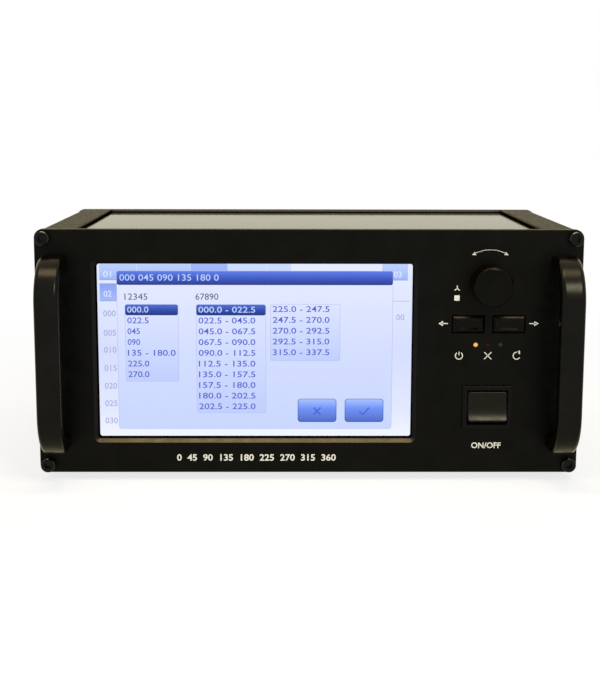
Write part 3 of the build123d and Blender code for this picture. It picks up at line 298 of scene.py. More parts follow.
@dataclass(frozen=True)
class Zone:
    """Box-shaped stretch of a piece whose surface differs from the rest.

    Attributes:
        low: Lowest corner of the box.
        high: Highest corner of the box.
        colour: Colour in the box.
        tint: Colour of its reflections.
    """

    low: Triple
    high: Triple
    colour: Colour
    tint: Colour


@dataclass(frozen=True)
class Finish:
    """Procedural finish of a surface.

    Attributes:
        name: Name of the material.
        colour: Middle of its colours.
        roughness: Middle of its roughness.
        metallic: 1 for bare or plated metal.
        specular: Strength of its reflection head-on.
        tint: Colour of its reflections.
        coat: Strength of a clear layer on top.
        shade: How far the colour varies, as a share of it.
        patch: Size of the patches of colour, in metres.
        smudge: How far the roughness varies.
        grain: Height of the fine grain, in metres.
        grain_size: Size of the fine grain, in metres.
        stretch: Stretch of the pattern along each axis, as on brushed or drawn metal.
        zones: Stretches of the piece that have another colour, later ones over earlier ones.
    """

    name: str
    colour: Colour
    roughness: float
    metallic: float = 0.0
    specular: float = 0.5
    tint: Colour = WHITE
    coat: float = 0.0
    shade: float = 0.12
    patch: float = 0.012
    smudge: float = 0.05
    grain: float = 0.000004
    grain_size: float = 0.0004
    stretch: Triple = (1.0, 1.0, 1.0)
    zones: tuple[Zone, ...] = ()

    PATCH_DETAIL = 3.0
    SMUDGE_SHARE = 0.4      # size of the smudges, as a share of the patches
    SMUDGE_DETAIL = 4.0
    GRAIN_DETAIL = 2.0
    COAT_ROUGHNESS = 0.1

    def make(self) -> bpy.types.Material:
        """Build the material's nodes.

        Returns:
            The new material.
        """
        shader = Shader.surface(self.name)
        where = shader.place(self.stretch)
        patches = shader.spread(shader.noise(where, self.patch, self.PATCH_DETAIL), 0.0, 1.0)
        lighter = scaled(self.colour, 1 + self.shade)
        colour = shader.between(patches, scaled(self.colour, 1 - self.shade), lighter)
        tint: SocketValue = self.tint
        for zone in self.zones:
            inside = shader.inside(zone.low, zone.high)
            colour = shader.between(inside, colour, zone.colour)
            tint = shader.between(inside, tint, zone.tint)
        marks = shader.noise(where, self.patch * self.SMUDGE_SHARE, self.SMUDGE_DETAIL)
        rough = shader.spread(marks, self.roughness - self.smudge, self.roughness + self.smudge)
        grains = shader.noise(where, self.grain_size, self.GRAIN_DETAIL)
        bump = shader.node("ShaderNodeBump", {"Height": grains, "Distance": self.grain})
        values = {
            "Base Color": colour,
            "Roughness": rough,
            "Metallic": self.metallic,
            "Specular IOR Level": self.specular,
            "Specular Tint": tint,
            "Coat Weight": self.coat,
            "Coat Roughness": self.COAT_ROUGHNESS,
            "Normal": bump.outputs["Normal"],
        }
        return shader.finish(shader.node("ShaderNodeBsdfPrincipled", values))


@dataclass(frozen=True)
class ClearFinish:
    """Clear glass or plastic with faint unevenness in its polish.

    Attributes:
        name: Name of the material.
        colour: Colour that light takes on inside it.
        roughness: Middle of its roughness.
        refraction: Index of refraction.
        uneven: How far the roughness varies, as a share of it.
    """

    name: str
    colour: Colour
    roughness: float
    refraction: float
    uneven: float = 0.5

    PATCH = 0.02            # metres
    PATCH_DETAIL = 3.0

    def make(self) -> bpy.types.Material:
        """Build the material's nodes.

        Returns:
            The new material.
        """
        shader = Shader.surface(self.name)
        marks = shader.noise(shader.place(), self.PATCH, self.PATCH_DETAIL)
        low, high = self.roughness * (1 - self.uneven), self.roughness * (1 + self.uneven)
        values = {
            "Base Color": self.colour,
            "Roughness": shader.spread(marks, low, high),
            "IOR": self.refraction,
            "Transmission Weight": 1.0,
        }
        return shader.finish(shader.node("ShaderNodeBsdfPrincipled", values))


@dataclass(frozen=True)
class LitFinish:
    """Glowing surface whose colour may run from its foot to its top.

    Attributes:
        name: Name of the material.
        stops: Colours at heights from 0, the foot, to 1, the top, or one colour all over.
        strength: Brightness, where 1 shows the colours as they are.
    """

    name: str
    stops: tuple[Stop, ...]
    strength: float = 1.0

    UNLIT_SHARE = 0.02      # share of its colour that other light shows
    ROUGHNESS = 0.4

    def make(self) -> bpy.types.Material:
        """Build the material's nodes.

        Returns:
            The new material.
        """
        shader = Shader.surface(self.name)
        glow: SocketValue = self.stops[0][1]
        if len(self.stops) > 1:
            where = shader.node("ShaderNodeTexCoord", {}).outputs["Generated"]
            height = shader.node("ShaderNodeSeparateXYZ", {"Vector": where}).outputs["Z"]
            glow = shader.ramp(height, self.stops)
        values = {
            "Base Color": scaled(self.stops[0][1], self.UNLIT_SHARE),
            "Roughness": self.ROUGHNESS,
            "Specular IOR Level": 0.0,
            "Emission Color": glow,
            "Emission Strength": self.strength,
        }
        return shader.finish(shader.node("ShaderNodeBsdfPrincipled", values))


AnyFinish = Finish | ClearFinish | LitFinish


@functools.cache
def material_of(finish: AnyFinish) -> bpy.types.Material:
    """Material of a finish, made once and shared by all that wear it."""
    return finish.make()


def dress(finish: AnyFinish, *nodes: str) -> None:
    """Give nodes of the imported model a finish.

    Args:
        finish: The finish that all of them get.
        nodes: Names of the nodes.
    """
    for node in nodes:
        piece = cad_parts[node]
        if not piece.material_slots:
            piece.data.materials.append(None)
        for slot in piece.material_slots:
            slot.material = material_of(finish)
    LOG.info("dressed %s in %s", ", ".join(nodes), finish.name)


def make_piece(name: str, draft: bmesh.types.BMesh, finish: AnyFinish,
               body: Body = Body.CASE) -> bpy.types.Object:
    """Turn a drafted mesh into a piece that rides on a body.

    Args:
        name: Name of the piece.
        draft: The mesh, which is freed here.
        finish: The piece's finish.
        body: The body that carries it.

    Returns:
        The new piece.
    """
    bmesh.ops.recalc_face_normals(draft, faces=draft.faces[:])
    mesh = bpy.data.meshes.new(name)
    draft.to_mesh(mesh)
    draft.free()
    mesh.materials.append(material_of(finish))
    piece = bpy.data.objects.new(name, mesh)
    bpy.context.scene.collection.objects.link(piece)
    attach(piece, body.value)
    LOG.info("built %s on %s", name, body.value)
    return piece


def on_circle(middle: Pair, radius: float, angle: float) -> Pair:
    """Point of a circle at an angle in degrees, from X towards Z."""
    turn = math.radians(angle)
    return (middle[0] + radius * math.cos(turn), middle[1] + radius * math.sin(turn))


def arc(middle: Pair, radius: float, start: float, end: float, steps: int) -> list[Pair]:
    """Points along a circle.

    Args:
        middle: The circle's middle.
        radius: Its radius in metres.
        start: First angle in degrees, from X towards Z.
        end: Last angle in degrees.
        steps: Number of stretches between the points.

    Returns:
        The points, both ends among them.
    """
    angles = [start + (end - start) * step / steps for step in range(steps + 1)]
    return [on_circle(middle, radius, angle) for angle in angles]


def rounded(low: Pair, high: Pair, radius: float, steps: int = 5) -> list[Pair]:
    """Outline of a rectangle with rounded corners.

    Args:
        low: Lower left corner.
        high: Upper right corner.
        radius: Radius of the corners.
        steps: Stretches in each corner.

    Returns:
        The outline's points, anticlockwise.
    """
    left, right = low[0] + radius, high[0] - radius
    bottom, top = low[1] + radius, high[1] - radius
    # Middle of each corner's arc, and the quarter turn that the arc starts at.
    corners = [(left, bottom, 2), (right, bottom, 3), (right, top, 0), (left, top, 1)]
    points: list[Pair] = []
    for x, z, quarter in corners:
        start = quarter * QUARTER_TURN
        points += arc((x, z), radius, start, start + QUARTER_TURN, steps)
    return points


class Stencil:
    """Flat shapes cut from a thin layer that lies on an upright face."""

    DIGIT_SHARE = 0.73      # height of a figure, as a share of the font's size
    CURVE_STEPS = 3         # stretches in each curve of a figure
    HALF_DEPTH = 0.5        # a figure reaches this far to both sides before it is made thin

    def __init__(self, y: float, facing: Facing, thickness: float = PRINT_DEPTH) -> None:
        """Start an empty layer.

        Args:
            y: Y of the face that the layer lies on.
            facing: Which way the face looks.
            thickness: Thickness of the layer in metres.
        """
        self.y = y
        self.facing = facing
        self.thickness = thickness
        self.draft = bmesh.new()

    @classmethod
    def on_panel(cls, facing: Facing) -> Stencil:
        """Start a layer on the outer face of the front or the rear panel.

        Args:
            facing: Which of the two panels.

        Returns:
            The empty layer.
        """
        if facing is Facing.FRONT:
            return cls(NodeBox.of("front_panel").low.y, facing)
        return cls(NodeBox.of("rear_panel").high.y, facing)

    def point(self, x: float, z: float, out: float) -> Vector:
        """Place of a point of the drawing, out metres off the face."""
        return Vector((x, self.y + self.facing.value * out, z))

    def outline(self, points: Sequence[Pair]) -> None:
        """Add one closed outline as a thin plate.

        Args:
            points: Its corners in order.
        """
        outer = [self.draft.verts.new(self.point(x, z, self.thickness)) for x, z in points]
        inner = [self.draft.verts.new(self.point(x, z, 0.0)) for x, z in points]
        self.draft.faces.new(outer)
        self.draft.faces.new(inner[::-1])
        for here in range(len(points)):
            there = (here + 1) % len(points)
            self.draft.faces.new((outer[here], inner[here], inner[there], outer[there]))

    def stroke(self, points: Sequence[Pair], width: float) -> None:
        """Add a line of even width.

        Args:
            points: Points that it runs through, which bend gently.
            width: Its width in metres.
        """
        left: list[Pair] = []
        right: list[Pair] = []
        for here, (x, z) in enumerate(points):
            before = points[max(here - 1, 0)]
            after = points[min(here + 1, len(points) - 1)]
            along = Vector((after[0] - before[0], after[1] - before[1])).normalized() * (width / 2)
            left.append((x - along.y, z + along.x))
            right.append((x + along.y, z - along.x))
        self.outline(left + right[::-1])

    def arrow_head(self, tip: Pair, heading: float, length: float, width: float) -> None:
        """Add a filled arrow head.

        Args:
            tip: The head's point.
            heading: Direction that it points in, in degrees from X towards Z.
            length: Length of the head.
            width: Width of its back edge.
        """
        turn = Matrix.Rotation(math.radians(heading), 2)
        corners = [Vector((0, 0)), Vector((-length, width / 2)), Vector((-length, -width / 2))]
        turned = [turn @ corner for corner in corners]
        self.outline([(tip[0] + c.x, tip[1] + c.y) for c in turned])

    def figures(self, words: str, height: float, place: Pair, align: Align = Align.CENTRE,
                weight: float = 0.0, width: float | None = None) -> None:
        """Add a line of figures.

        Args:
            words: The figures.
            height: Height of a figure in metres.
            place: Where the line stands, with the middle of its height.
            align: Whether the place is the line's left end or its middle.
            weight: Extra thickness of the strokes, as a share of the font's size.
            width: Width of the whole line in metres, or None for the font's own.
        """
        curve = bpy.data.curves.new("figures", "FONT")
        curve.body = words
        curve.resolution_u = self.CURVE_STEPS
        curve.offset = weight
        curve.extrude = self.HALF_DEPTH
        writer = bpy.data.objects.new("figures", curve)
        bpy.context.scene.collection.objects.link(writer)
        bpy.context.view_layer.update()
        mesh = bpy.data.meshes.new_from_object(writer)
        bpy.data.objects.remove(writer)
        across = [vertex.co.x for vertex in mesh.vertices]
        scale = height / self.DIGIT_SHARE
        stretch = scale if width is None else width / (max(across) - min(across))
        shift = min(across) + (max(across) - min(across)) * align.value
        for vertex in mesh.vertices:
            x = (vertex.co.x - shift) * stretch * -self.facing.value
            z = (vertex.co.y - self.DIGIT_SHARE / 2) * scale
            out = (vertex.co.z + self.HALF_DEPTH) * self.thickness
            vertex.co = self.point(place[0] + x, place[1] + z, out)
        self.draft.from_mesh(mesh)
        bpy.data.meshes.remove(mesh)

    def piece(self, name: str, finish: AnyFinish, slot: Slot | None = None) -> bpy.types.Object:
        """Turn the layer into a piece that rides on the case."""
        return make_piece(name, self.draft, finish)


@dataclass
class Cabinet:
    """Panels, rails, covers, handles, feet and the screws that hold them.

    Attributes:
        panel: Satin black front and rear panels.
        cover: Black covers, which turn bright at a glancing angle.
        rail: Side rails.
        handle: Smooth black handles.
        screw: Black cap screws.
        rubber: Rubber of the feet.
        skin: Distance that a zone keeps from a face, or reaches past it.
        bevel_foot: Top of the painted highlight on the foot of the bevel under the display, from
            the lower edge of its glass.
        bare_over: From the top cover to the lighter strip of the rear panel's inner face, a dark
            line left as painted shade.
        worn: Depth of the painted highlight on the edge of a corner screw's head.
    """

    panel: Finish = Finish("satin_panel", (0.0078, 0.0076, 0.0062, 1.0), 0.4, metallic=1.0,
                           tint=(0.85, 0.74, 0.5, 1.0), grain=0.000003, grain_size=0.00035)
    cover: Finish = Finish("gloss_cover", (0.02, 0.019, 0.015, 1.0), 0.07, metallic=0.84,
                           tint=(0.49, 0.42, 0.15, 1.0), patch=0.08, smudge=0.015, grain=0.0000004)
    rail: Finish = Finish("blasted_rail", (0.011, 0.0105, 0.009, 1.0), 0.38, metallic=0.9,
                          tint=(0.46, 0.4, 0.19, 1.0), patch=0.004, stretch=(1.0, 0.3, 1.0))
    handle: Finish = Finish("smooth_handle", (0.0112, 0.0108, 0.0086, 1.0), 0.26, metallic=1.0,
                            tint=(0.95, 0.88, 0.72, 1.0), smudge=0.03, grain=0.0000005)
    screw: Finish = Finish("black_oxide", (0.012, 0.0115, 0.01, 1.0), 0.2, metallic=1.0,
                           grain=0.000001)
    rubber: Finish = Finish("foot_rubber", (0.012, 0.012, 0.012, 1.0), 0.75, specular=0.3,
                            grain=0.00002, grain_size=0.0006)
    skin: float = 0.03 * MM
    bevel_foot: float = 6.6 * MM
    bare_over: float = 0.5 * MM
    worn: float = 0.4 * MM

    # Colour and colour of the reflections in each zone.
    # Painted shade on the display's bevel: a lighter base with much dimmer reflections than the
    # panel's.
    BEVEL = ((0.018, 0.0165, 0.016, 1.0), (0.12, 0.11, 0.1, 1.0))
    # Painted highlight on the foot of the display's bevel: lighter and warmer colour and
    # reflections.
    BEVEL_FOOT = ((0.044, 0.037, 0.022, 1.0), (0.3, 0.26, 0.16, 1.0))
    # Lighter colour and reflections for the strip along the top of the rear panel's inner face.
    BARE_STRIP = ((0.14, 0.128, 0.098, 1.0), (0.9, 0.85, 0.7, 1.0))
    # Painted highlight on the edge of a corner screw's head.
    WORN_RIM = ((0.04, 0.039, 0.034, 1.0), WHITE)

    def build(self) -> None:
        """Dress every node of the cabinet."""
        dress(self.front_finish(), "front_panel")
        dress(self.rear_finish(), "rear_panel")
        dress(self.cover, "top_cover", "bottom_cover")
        dress(self.rail, "side_rail_left", "side_rail_right")
        dress(self.handle, "handle_left", "handle_right")
        dress(self.corner_finish(), "corner_screws")
        dress(self.screw, "handle_screws", "foot_screws", "inlet_screws")
        dress(self.rubber, "rubber_feet")

    def front_finish(self) -> Finish:
        """Paint shade on the display's bevel, as a lighter base with much dimmer reflections, and a
        painted highlight on its foot, lighter and warmer.

        Returns:
            The front panel's finish.
        """
        panel, glass = NodeBox.of("front_panel"), NodeBox.of("display_glass")
        low = (glass.low.x, panel.low.y + self.skin, glass.low.z)
        high = (glass.high.x, panel.high.y + self.skin, glass.high.z)
        # The bevel zone holds painted shade, and the foot zone over it a painted highlight.
        bevel_shade = Zone(low, high, *self.BEVEL)
        foot = Zone(low, (high[0], high[1], low[2] + self.bevel_foot), *self.BEVEL_FOOT)
        return replace(self.panel, name="front_panel_black", zones=(bevel_shade, foot))

    def rear_finish(self) -> Finish:
        """Make the rear panel lighter along the top of its inner face, above a line of painted
        shade over the top cover.

        Returns:
            The rear panel's finish.
        """
        panel, cover = NodeBox.of("rear_panel"), NodeBox.of("top_cover")
        # The panel's own dark colour stays in a thin band over the top cover, as a line of painted
        # shade under the lighter strip.
        low = (-FAR, panel.low.y - self.skin, cover.high.z + self.bare_over)
        high = (FAR, panel.low.y + self.skin, FAR)
        strip = Zone(low, high, *self.BARE_STRIP)
        return replace(self.panel, name="rear_panel_black", zones=(strip,))

    def corner_finish(self) -> Finish:
        """Paint a highlight on the edges of the corner screws' heads.

        Returns:
            The corner screws' finish.
        """
        front = NodeBox.of("corner_screws").low.y
        rim_highlight = Zone((-FAR, front + self.skin, -FAR), (FAR, front + self.worn, FAR), *self.WORN_RIM)
        return replace(self.screw, name="corner_oxide", zones=(rim_highlight,))


@dataclass(frozen=True)
class ScreenBox:
    """Rectangle of the menu, in pixels of the display from its upper left corner."""

    left: float
    top: float
    right: float
    bottom: float

    def grown(self, by: float) -> ScreenBox:
        """The rectangle made larger by a few pixels on every side."""
        return ScreenBox(self.left - by, self.top - by, self.right + by, self.bottom + by)


@dataclass(frozen=True)
class MenuList:
    """One list of the menu: its box and its rows of figures.

    Attributes:
        box: The list's frame.
        rows: Its figures, one line each.
        chosen: Number of the row that is highlighted, or None.
    """

    box: ScreenBox
    rows: tuple[str, ...]
    chosen: int | None = None


def sectors(first: int, count: int, step: float = 22.5) -> tuple[str, ...]:
    """Bearing sectors, such as 045.0 - 067.5, one for each row of a list."""
    starts = [(first + row) * step % FULL_TURN for row in range(count)]
    return tuple(f"{start:05.1f} - {start + step:05.1f}" for start in starts)


@dataclass
class Display:
    """Touch display: glass, module, mount and the lit menu behind the glass.

    Attributes:
        pixels: Width and height of the picture in pixels.
        pitch: Width and height of a pixel in metres.
        layer: Distance between two layers of the picture.
        rows: Distance between two rows of a list, in pixels.
        text_drop: From a row's top to the middle of its figures, in pixels.
        indent: From a list's edge to its figures, in pixels.
        figure: Height of a figure in a list, in pixels.
        advance: Width that a figure of a list takes up, in pixels.
        glass: Finish of the touch glass.
        module: Finish of the module's black mask and back.
        film: Thickness of a layer, as a share of the distance between two.
        level: Number of layers made so far.
    """

    pixels: Pair = (800.0, 480.0)
    pitch: Pair = (0.1926 * MM, 0.179 * MM)
    layer: float = 0.03 * MM
    rows: float = 30.0
    text_drop: float = 12.2
    indent: float = 5.0
    figure: float = 17.0
    advance: float = 11.3
    glass: ClearFinish = ClearFinish("polished_touch_glass", (0.98, 0.99, 1.0, 1.0), 0.02, 1.12)
    module: Finish = Finish("module_mask", (0.006, 0.006, 0.008, 1.0), 0.5)
    film: float = 0.4
    level: int = field(default=0, init=False)

    PAPER = LitFinish("menu_paper", shades((0.0, 242, 245, 255), (0.15, 226, 231, 253),
                                           (0.5, 214, 221, 252), (1.0, 230, 236, 255)))
    TAB = LitFinish("menu_tab", shades((0.0, 156, 180, 250), (0.4, 176, 197, 251),
                                       (1.0, 192, 211, 252)))
    PALE_TAB = LitFinish("menu_pale_tab", shades((0.0, 196, 212, 252), (1.0, 208, 221, 254)))
    DARK_TAB = LitFinish("menu_dark_tab", shades((0.0, 150, 170, 246), (1.0, 166, 186, 250)))
    SIDE_TAB = LitFinish("menu_side_tab", shades((0.0, 166, 185, 253), (1.0, 140, 162, 238)))
    TAB_LINE = LitFinish("menu_tab_line", shades((0.0, 142, 158, 224)))
    RULE = LitFinish("menu_rule", shades((0.0, 176, 186, 232)))
    SHEET = LitFinish("menu_sheet", shades((0.0, 201, 214, 253), (0.5, 212, 221, 253),
                                           (1.0, 230, 235, 255)))
    LIST = LitFinish("menu_list", shades((0.0, 192, 206, 252), (1.0, 222, 229, 255)))
    BAR = LitFinish("menu_bar", shades((0.0, 43, 60, 140), (0.5, 66, 93, 198), (1.0, 97, 128, 232)))
    CHOICE = LitFinish("menu_choice", shades((0.0, 38, 54, 120), (0.5, 53, 80, 176),
                                             (1.0, 84, 114, 212)))
    KEY_EDGE = LitFinish("menu_key_edge", shades((0.0, 66, 84, 158), (1.0, 120, 140, 210)))
    KEY = LitFinish("menu_key", shades((0.0, 82, 108, 198), (0.6, 114, 148, 246),
                                       (1.0, 168, 194, 255)))
    KEY_MARK = LitFinish("menu_key_mark", shades((0.0, 76, 108, 220)))
    INK = LitFinish("menu_ink", shades((0.0, 84, 98, 206)))
    HEADING = LitFinish("menu_heading", shades((0.0, 76, 76, 112)))
    PALE_INK = LitFinish("menu_pale_ink", shades((0.0, 168, 176, 224)))
    MARK_INK = LitFinish("menu_mark_ink", shades((0.0, 222, 232, 255)))
    TITLE_INK = LitFinish("menu_title_ink", shades((0.0, 190, 210, 255)))

    # Places and sizes on the screen, in pixels. A tab has its left and right edges and its
    # finish, and a tab's mark and a heading have their figures before their place.
    LISTS = (
        MenuList(ScreenBox(70, 113, 204, 325),
                 ("000.0", "022.5", "045", "090", "135 - 180.0", "225.0", "270.0"), 0),
        MenuList(ScreenBox(251, 113, 427, 414), sectors(0, 10), 0),
        MenuList(ScreenBox(440, 111, 616, 267), sectors(10, 5)),
    )
    TABS = ((6, 100, TAB), (101, 236, TAB), (237, 331, DARK_TAB), (332, 430, PALE_TAB),
            (431, 492, PALE_TAB), (723, 788, TAB))
    TAB_FOOT = 43.0
    TAB_MARKS = (("01", 16, 28), ("02", 16, 82), ("03", 752, 28))
    LINE = 2.0
    SECOND_TAB = ScreenBox(6, 54, 60, 101)
    PAGE_RULE = ScreenBox(750, 101.5, 794, 103)
    LABELS_LEFT = 14
    LABEL_HEIGHTS = (136, 190, 237, 288, 338, 387, 436)
    LABEL_STEP = 5          # from one row label's number to the next
    UNIT_LABEL = (760, 146)
    DIALOG = ScreenBox(50, 20, 750, 459)
    TITLE_FOOT = 58.0
    TITLE_PLACE = (57, 37.0)
    HEADINGS = (("12345", 69), ("67890", 249))
    HEADING_HEIGHT = 89.5
    CHOICE_RISE = 1.5       # from the top of a chosen row's bar to the top of the row
    CANCEL = ScreenBox(509, 374, 609, 440)
    ACCEPT = ScreenBox(630, 374, 730, 440)
    KEY_RIM = 2.0
    RIM = 1.0               # of the dialog and of a list
    CROSS = ScreenBox(550, 399, 568, 419)
    TICK = ((668, 410), (677, 419), (693, 399))
    KEY_LINE = 4.0

    # Radii of corners, in pixels.
    SHARP = 0.5
    TAB_ROUND = 1.0
    ROUND = 5.0
    SHEET_ROUND = 6.0
    KEY_ROUND = 7.0
    KEY_EDGE_ROUND = 8.0

    # Sizes and weights of lines of figures, as shares.
    LARGE = 1.07
    PLAIN_WEIGHT = 0.008
    TITLE_WEIGHT = 0.004
    NARROWER = 0.2          # of a figure's width, by which a line is shorter than its figures

    def build(self) -> None:
        """Dress the display's nodes and build the menu."""
        dress(self.glass, "display_glass")
        dress(self.module, "display_module", "display_gasket")
        self.build_ground()
        self.build_dialog()
        for number, menu_list in enumerate(self.LISTS):
            self.build_list(number, menu_list)
        self.build_keys()

    def spot(self, x: float, y: float) -> Pair:
        """Find a pixel of the display.

        Args:
            x: Pixels from the display's left edge.
            y: Pixels from its top.

        Returns:
            Its X and Z in metres.
        """
        middle = NodeBox.of("display_glass").middle
        across = (x - self.pixels[0] / 2) * self.pitch[0]
        up = (self.pixels[1] / 2 - y) * self.pitch[1]
        return (middle.x + across, middle.z + up)

    def stencil(self) -> Stencil:
        """Start a layer of the picture, in front of the ones made so far.

        Returns:
            The empty layer.
        """
        self.level += 1
        y = NodeBox.of("display_module").low.y - self.level * self.layer
        return Stencil(y, Facing.FRONT, self.layer * self.film)

    def plate(self, name: str, finish: LitFinish, *boxes: ScreenBox, radius: float = ROUND) -> None:
        """Build one piece from rectangles that share a finish.

        Args:
            name: Name of the piece.
            finish: Its finish.
            boxes: The rectangles.
            radius: Radius of their corners in pixels.
        """
        layer = self.stencil()
        for box in boxes:
            low, high = self.spot(box.left, box.bottom), self.spot(box.right, box.top)
            layer.outline(rounded(low, high, radius * self.pitch[0]))
        layer.piece(name, finish, Slot.SCREEN)

    def line(self, layer: Stencil, words: str, left: float, y: float, share: float = 1.0,
             weight: float = PLAIN_WEIGHT) -> None:
        """Add a line of figures that starts at a pixel.

        Args:
            layer: The layer that it is cut from.
            words: The figures.
            left: Pixel of its left end.
            y: Pixel of its middle.
            share: Its size, as a share of a list's figures.
            weight: Extra thickness of its strokes, as a share of the font's size.
        """
        height = self.figure * share * self.pitch[1]
        width = (len(words) - self.NARROWER) * self.advance * share * self.pitch[0]
        layer.figures(words, height, self.spot(left, y), Align.LEFT, weight, width)

    def build_ground(self) -> None:
        """Build the page behind the dialog, with its tabs and faded row labels."""
        width, height = self.pixels
        page = ScreenBox(0, 0, width, height)
        self.plate("menu_page", self.PAPER, page, radius=self.SHEET_ROUND)
        finishes = {finish.name: finish for _, _, finish in self.TABS}
        for name, finish in finishes.items():
            boxes = [ScreenBox(left, 0, right, self.TAB_FOOT) for left, right, own in self.TABS
                     if own is finish]
            self.plate(f"{name}s", finish, *boxes, radius=self.TAB_ROUND)
        side = self.SECOND_TAB
        self.plate("menu_side_tab", self.SIDE_TAB, side, radius=self.TAB_ROUND)
        feet = [ScreenBox(left, self.TAB_FOOT, right, self.TAB_FOOT + self.LINE)
                for left, right, _ in self.TABS]
        feet.append(ScreenBox(side.left, side.bottom, side.right, side.bottom + self.LINE))
        self.plate("menu_tab_lines", self.TAB_LINE, *feet, radius=self.SHARP)
        self.plate("menu_page_rule", self.RULE, self.PAGE_RULE, radius=self.SHARP)
        labels = self.stencil()
        for number, y in enumerate(self.LABEL_HEIGHTS):
            self.line(labels, f"{number * self.LABEL_STEP:03d}", self.LABELS_LEFT, y)
        self.line(labels, "00", *self.UNIT_LABEL)
        labels.piece("menu_row_labels", self.PALE_INK, Slot.SCREEN)
        marks = self.stencil()
        for mark in self.TAB_MARKS:
            self.line(marks, *mark)
        marks.piece("menu_tab_marks", self.MARK_INK, Slot.SCREEN)

    def build_dialog(self) -> None:
        """Build the dialog's sheet, its title bar and its two headings."""
        box = self.DIALOG
        around = box.grown(self.RIM)
        self.plate("menu_dialog_rim", self.RULE, around, radius=self.SHEET_ROUND + self.RIM)
        self.plate("menu_dialog", self.SHEET, box, radius=self.SHEET_ROUND)
        bar = ScreenBox(box.left, box.top, box.right, self.TITLE_FOOT)
        self.plate("menu_title_bar", self.BAR, bar)
        title = self.stencil()
        self.line(title, "000 045 090 135 180 0", *self.TITLE_PLACE, self.LARGE, self.TITLE_WEIGHT)
        title.piece("menu_title", self.TITLE_INK, Slot.SCREEN)
        headings = self.stencil()
        for words, left in self.HEADINGS:
            self.line(headings, words, left, self.HEADING_HEIGHT, self.LARGE, 0.0)
        headings.piece("menu_headings", self.HEADING, Slot.SCREEN)

    def build_list(self, number: int, menu_list: MenuList) -> None:
        """Build one list of the dialog.

        Args:
            number: The list's place, which its pieces are named by.
            menu_list: Its box and rows.
        """
        name = f"menu_list_{number + 1}"
        box = menu_list.box
        self.plate(f"{name}_rim", self.RULE, box.grown(self.RIM))
        self.plate(name, self.LIST, box)
        if menu_list.chosen is not None:
            top = box.top + self.rows * menu_list.chosen
            bar_top = top - self.CHOICE_RISE
            bar = ScreenBox(box.left, bar_top, box.right, bar_top + self.rows)
            self.plate(f"{name}_choice", self.CHOICE, bar)
            chosen = self.stencil()
            words = menu_list.rows[menu_list.chosen]
            self.line(chosen, words, box.left + self.indent, top + self.text_drop)
            chosen.piece(f"{name}_chosen", self.TITLE_INK, Slot.SCREEN)
        ink = self.stencil()
        for row, words in enumerate(menu_list.rows):
            if row != menu_list.chosen:
                y = box.top + self.rows * row + self.text_drop
                self.line(ink, words, box.left + self.indent, y)
        ink.piece(f"{name}_rows", self.INK, Slot.SCREEN)

    def build_keys(self) -> None:
        """Build the two touch keys, one with a cross and one with a tick."""
        edges = (self.CANCEL, self.ACCEPT)
        self.plate("menu_key_edges", self.KEY_EDGE, *edges, radius=self.KEY_EDGE_ROUND)
        keys = [edge.grown(-self.KEY_RIM) for edge in edges]
        self.plate("menu_keys", self.KEY, *keys, radius=self.KEY_ROUND)
        marks = self.stencil()
        cross = self.CROSS
        strokes = [((cross.left, cross.bottom), (cross.right, cross.top)),
                   ((cross.left, cross.top), (cross.right, cross.bottom)),
                   self.TICK[:2], self.TICK[1:]]
        for ends in strokes:
            marks.stroke([self.spot(*end) for end in ends], self.KEY_LINE * self.pitch[0])
        marks.piece("menu_key_marks", self.KEY_MARK, Slot.SCREEN)


PRINT_WHITE = Finish("printed_ink", (0.75, 0.72, 0.64, 1.0), 0.6, specular=0.3, shade=0.03,
                     patch=0.003, grain=0.000002)
BOLD = 0.02                 # extra thickness of bold strokes, as a share of the font's size
SEMI_BOLD = 0.01


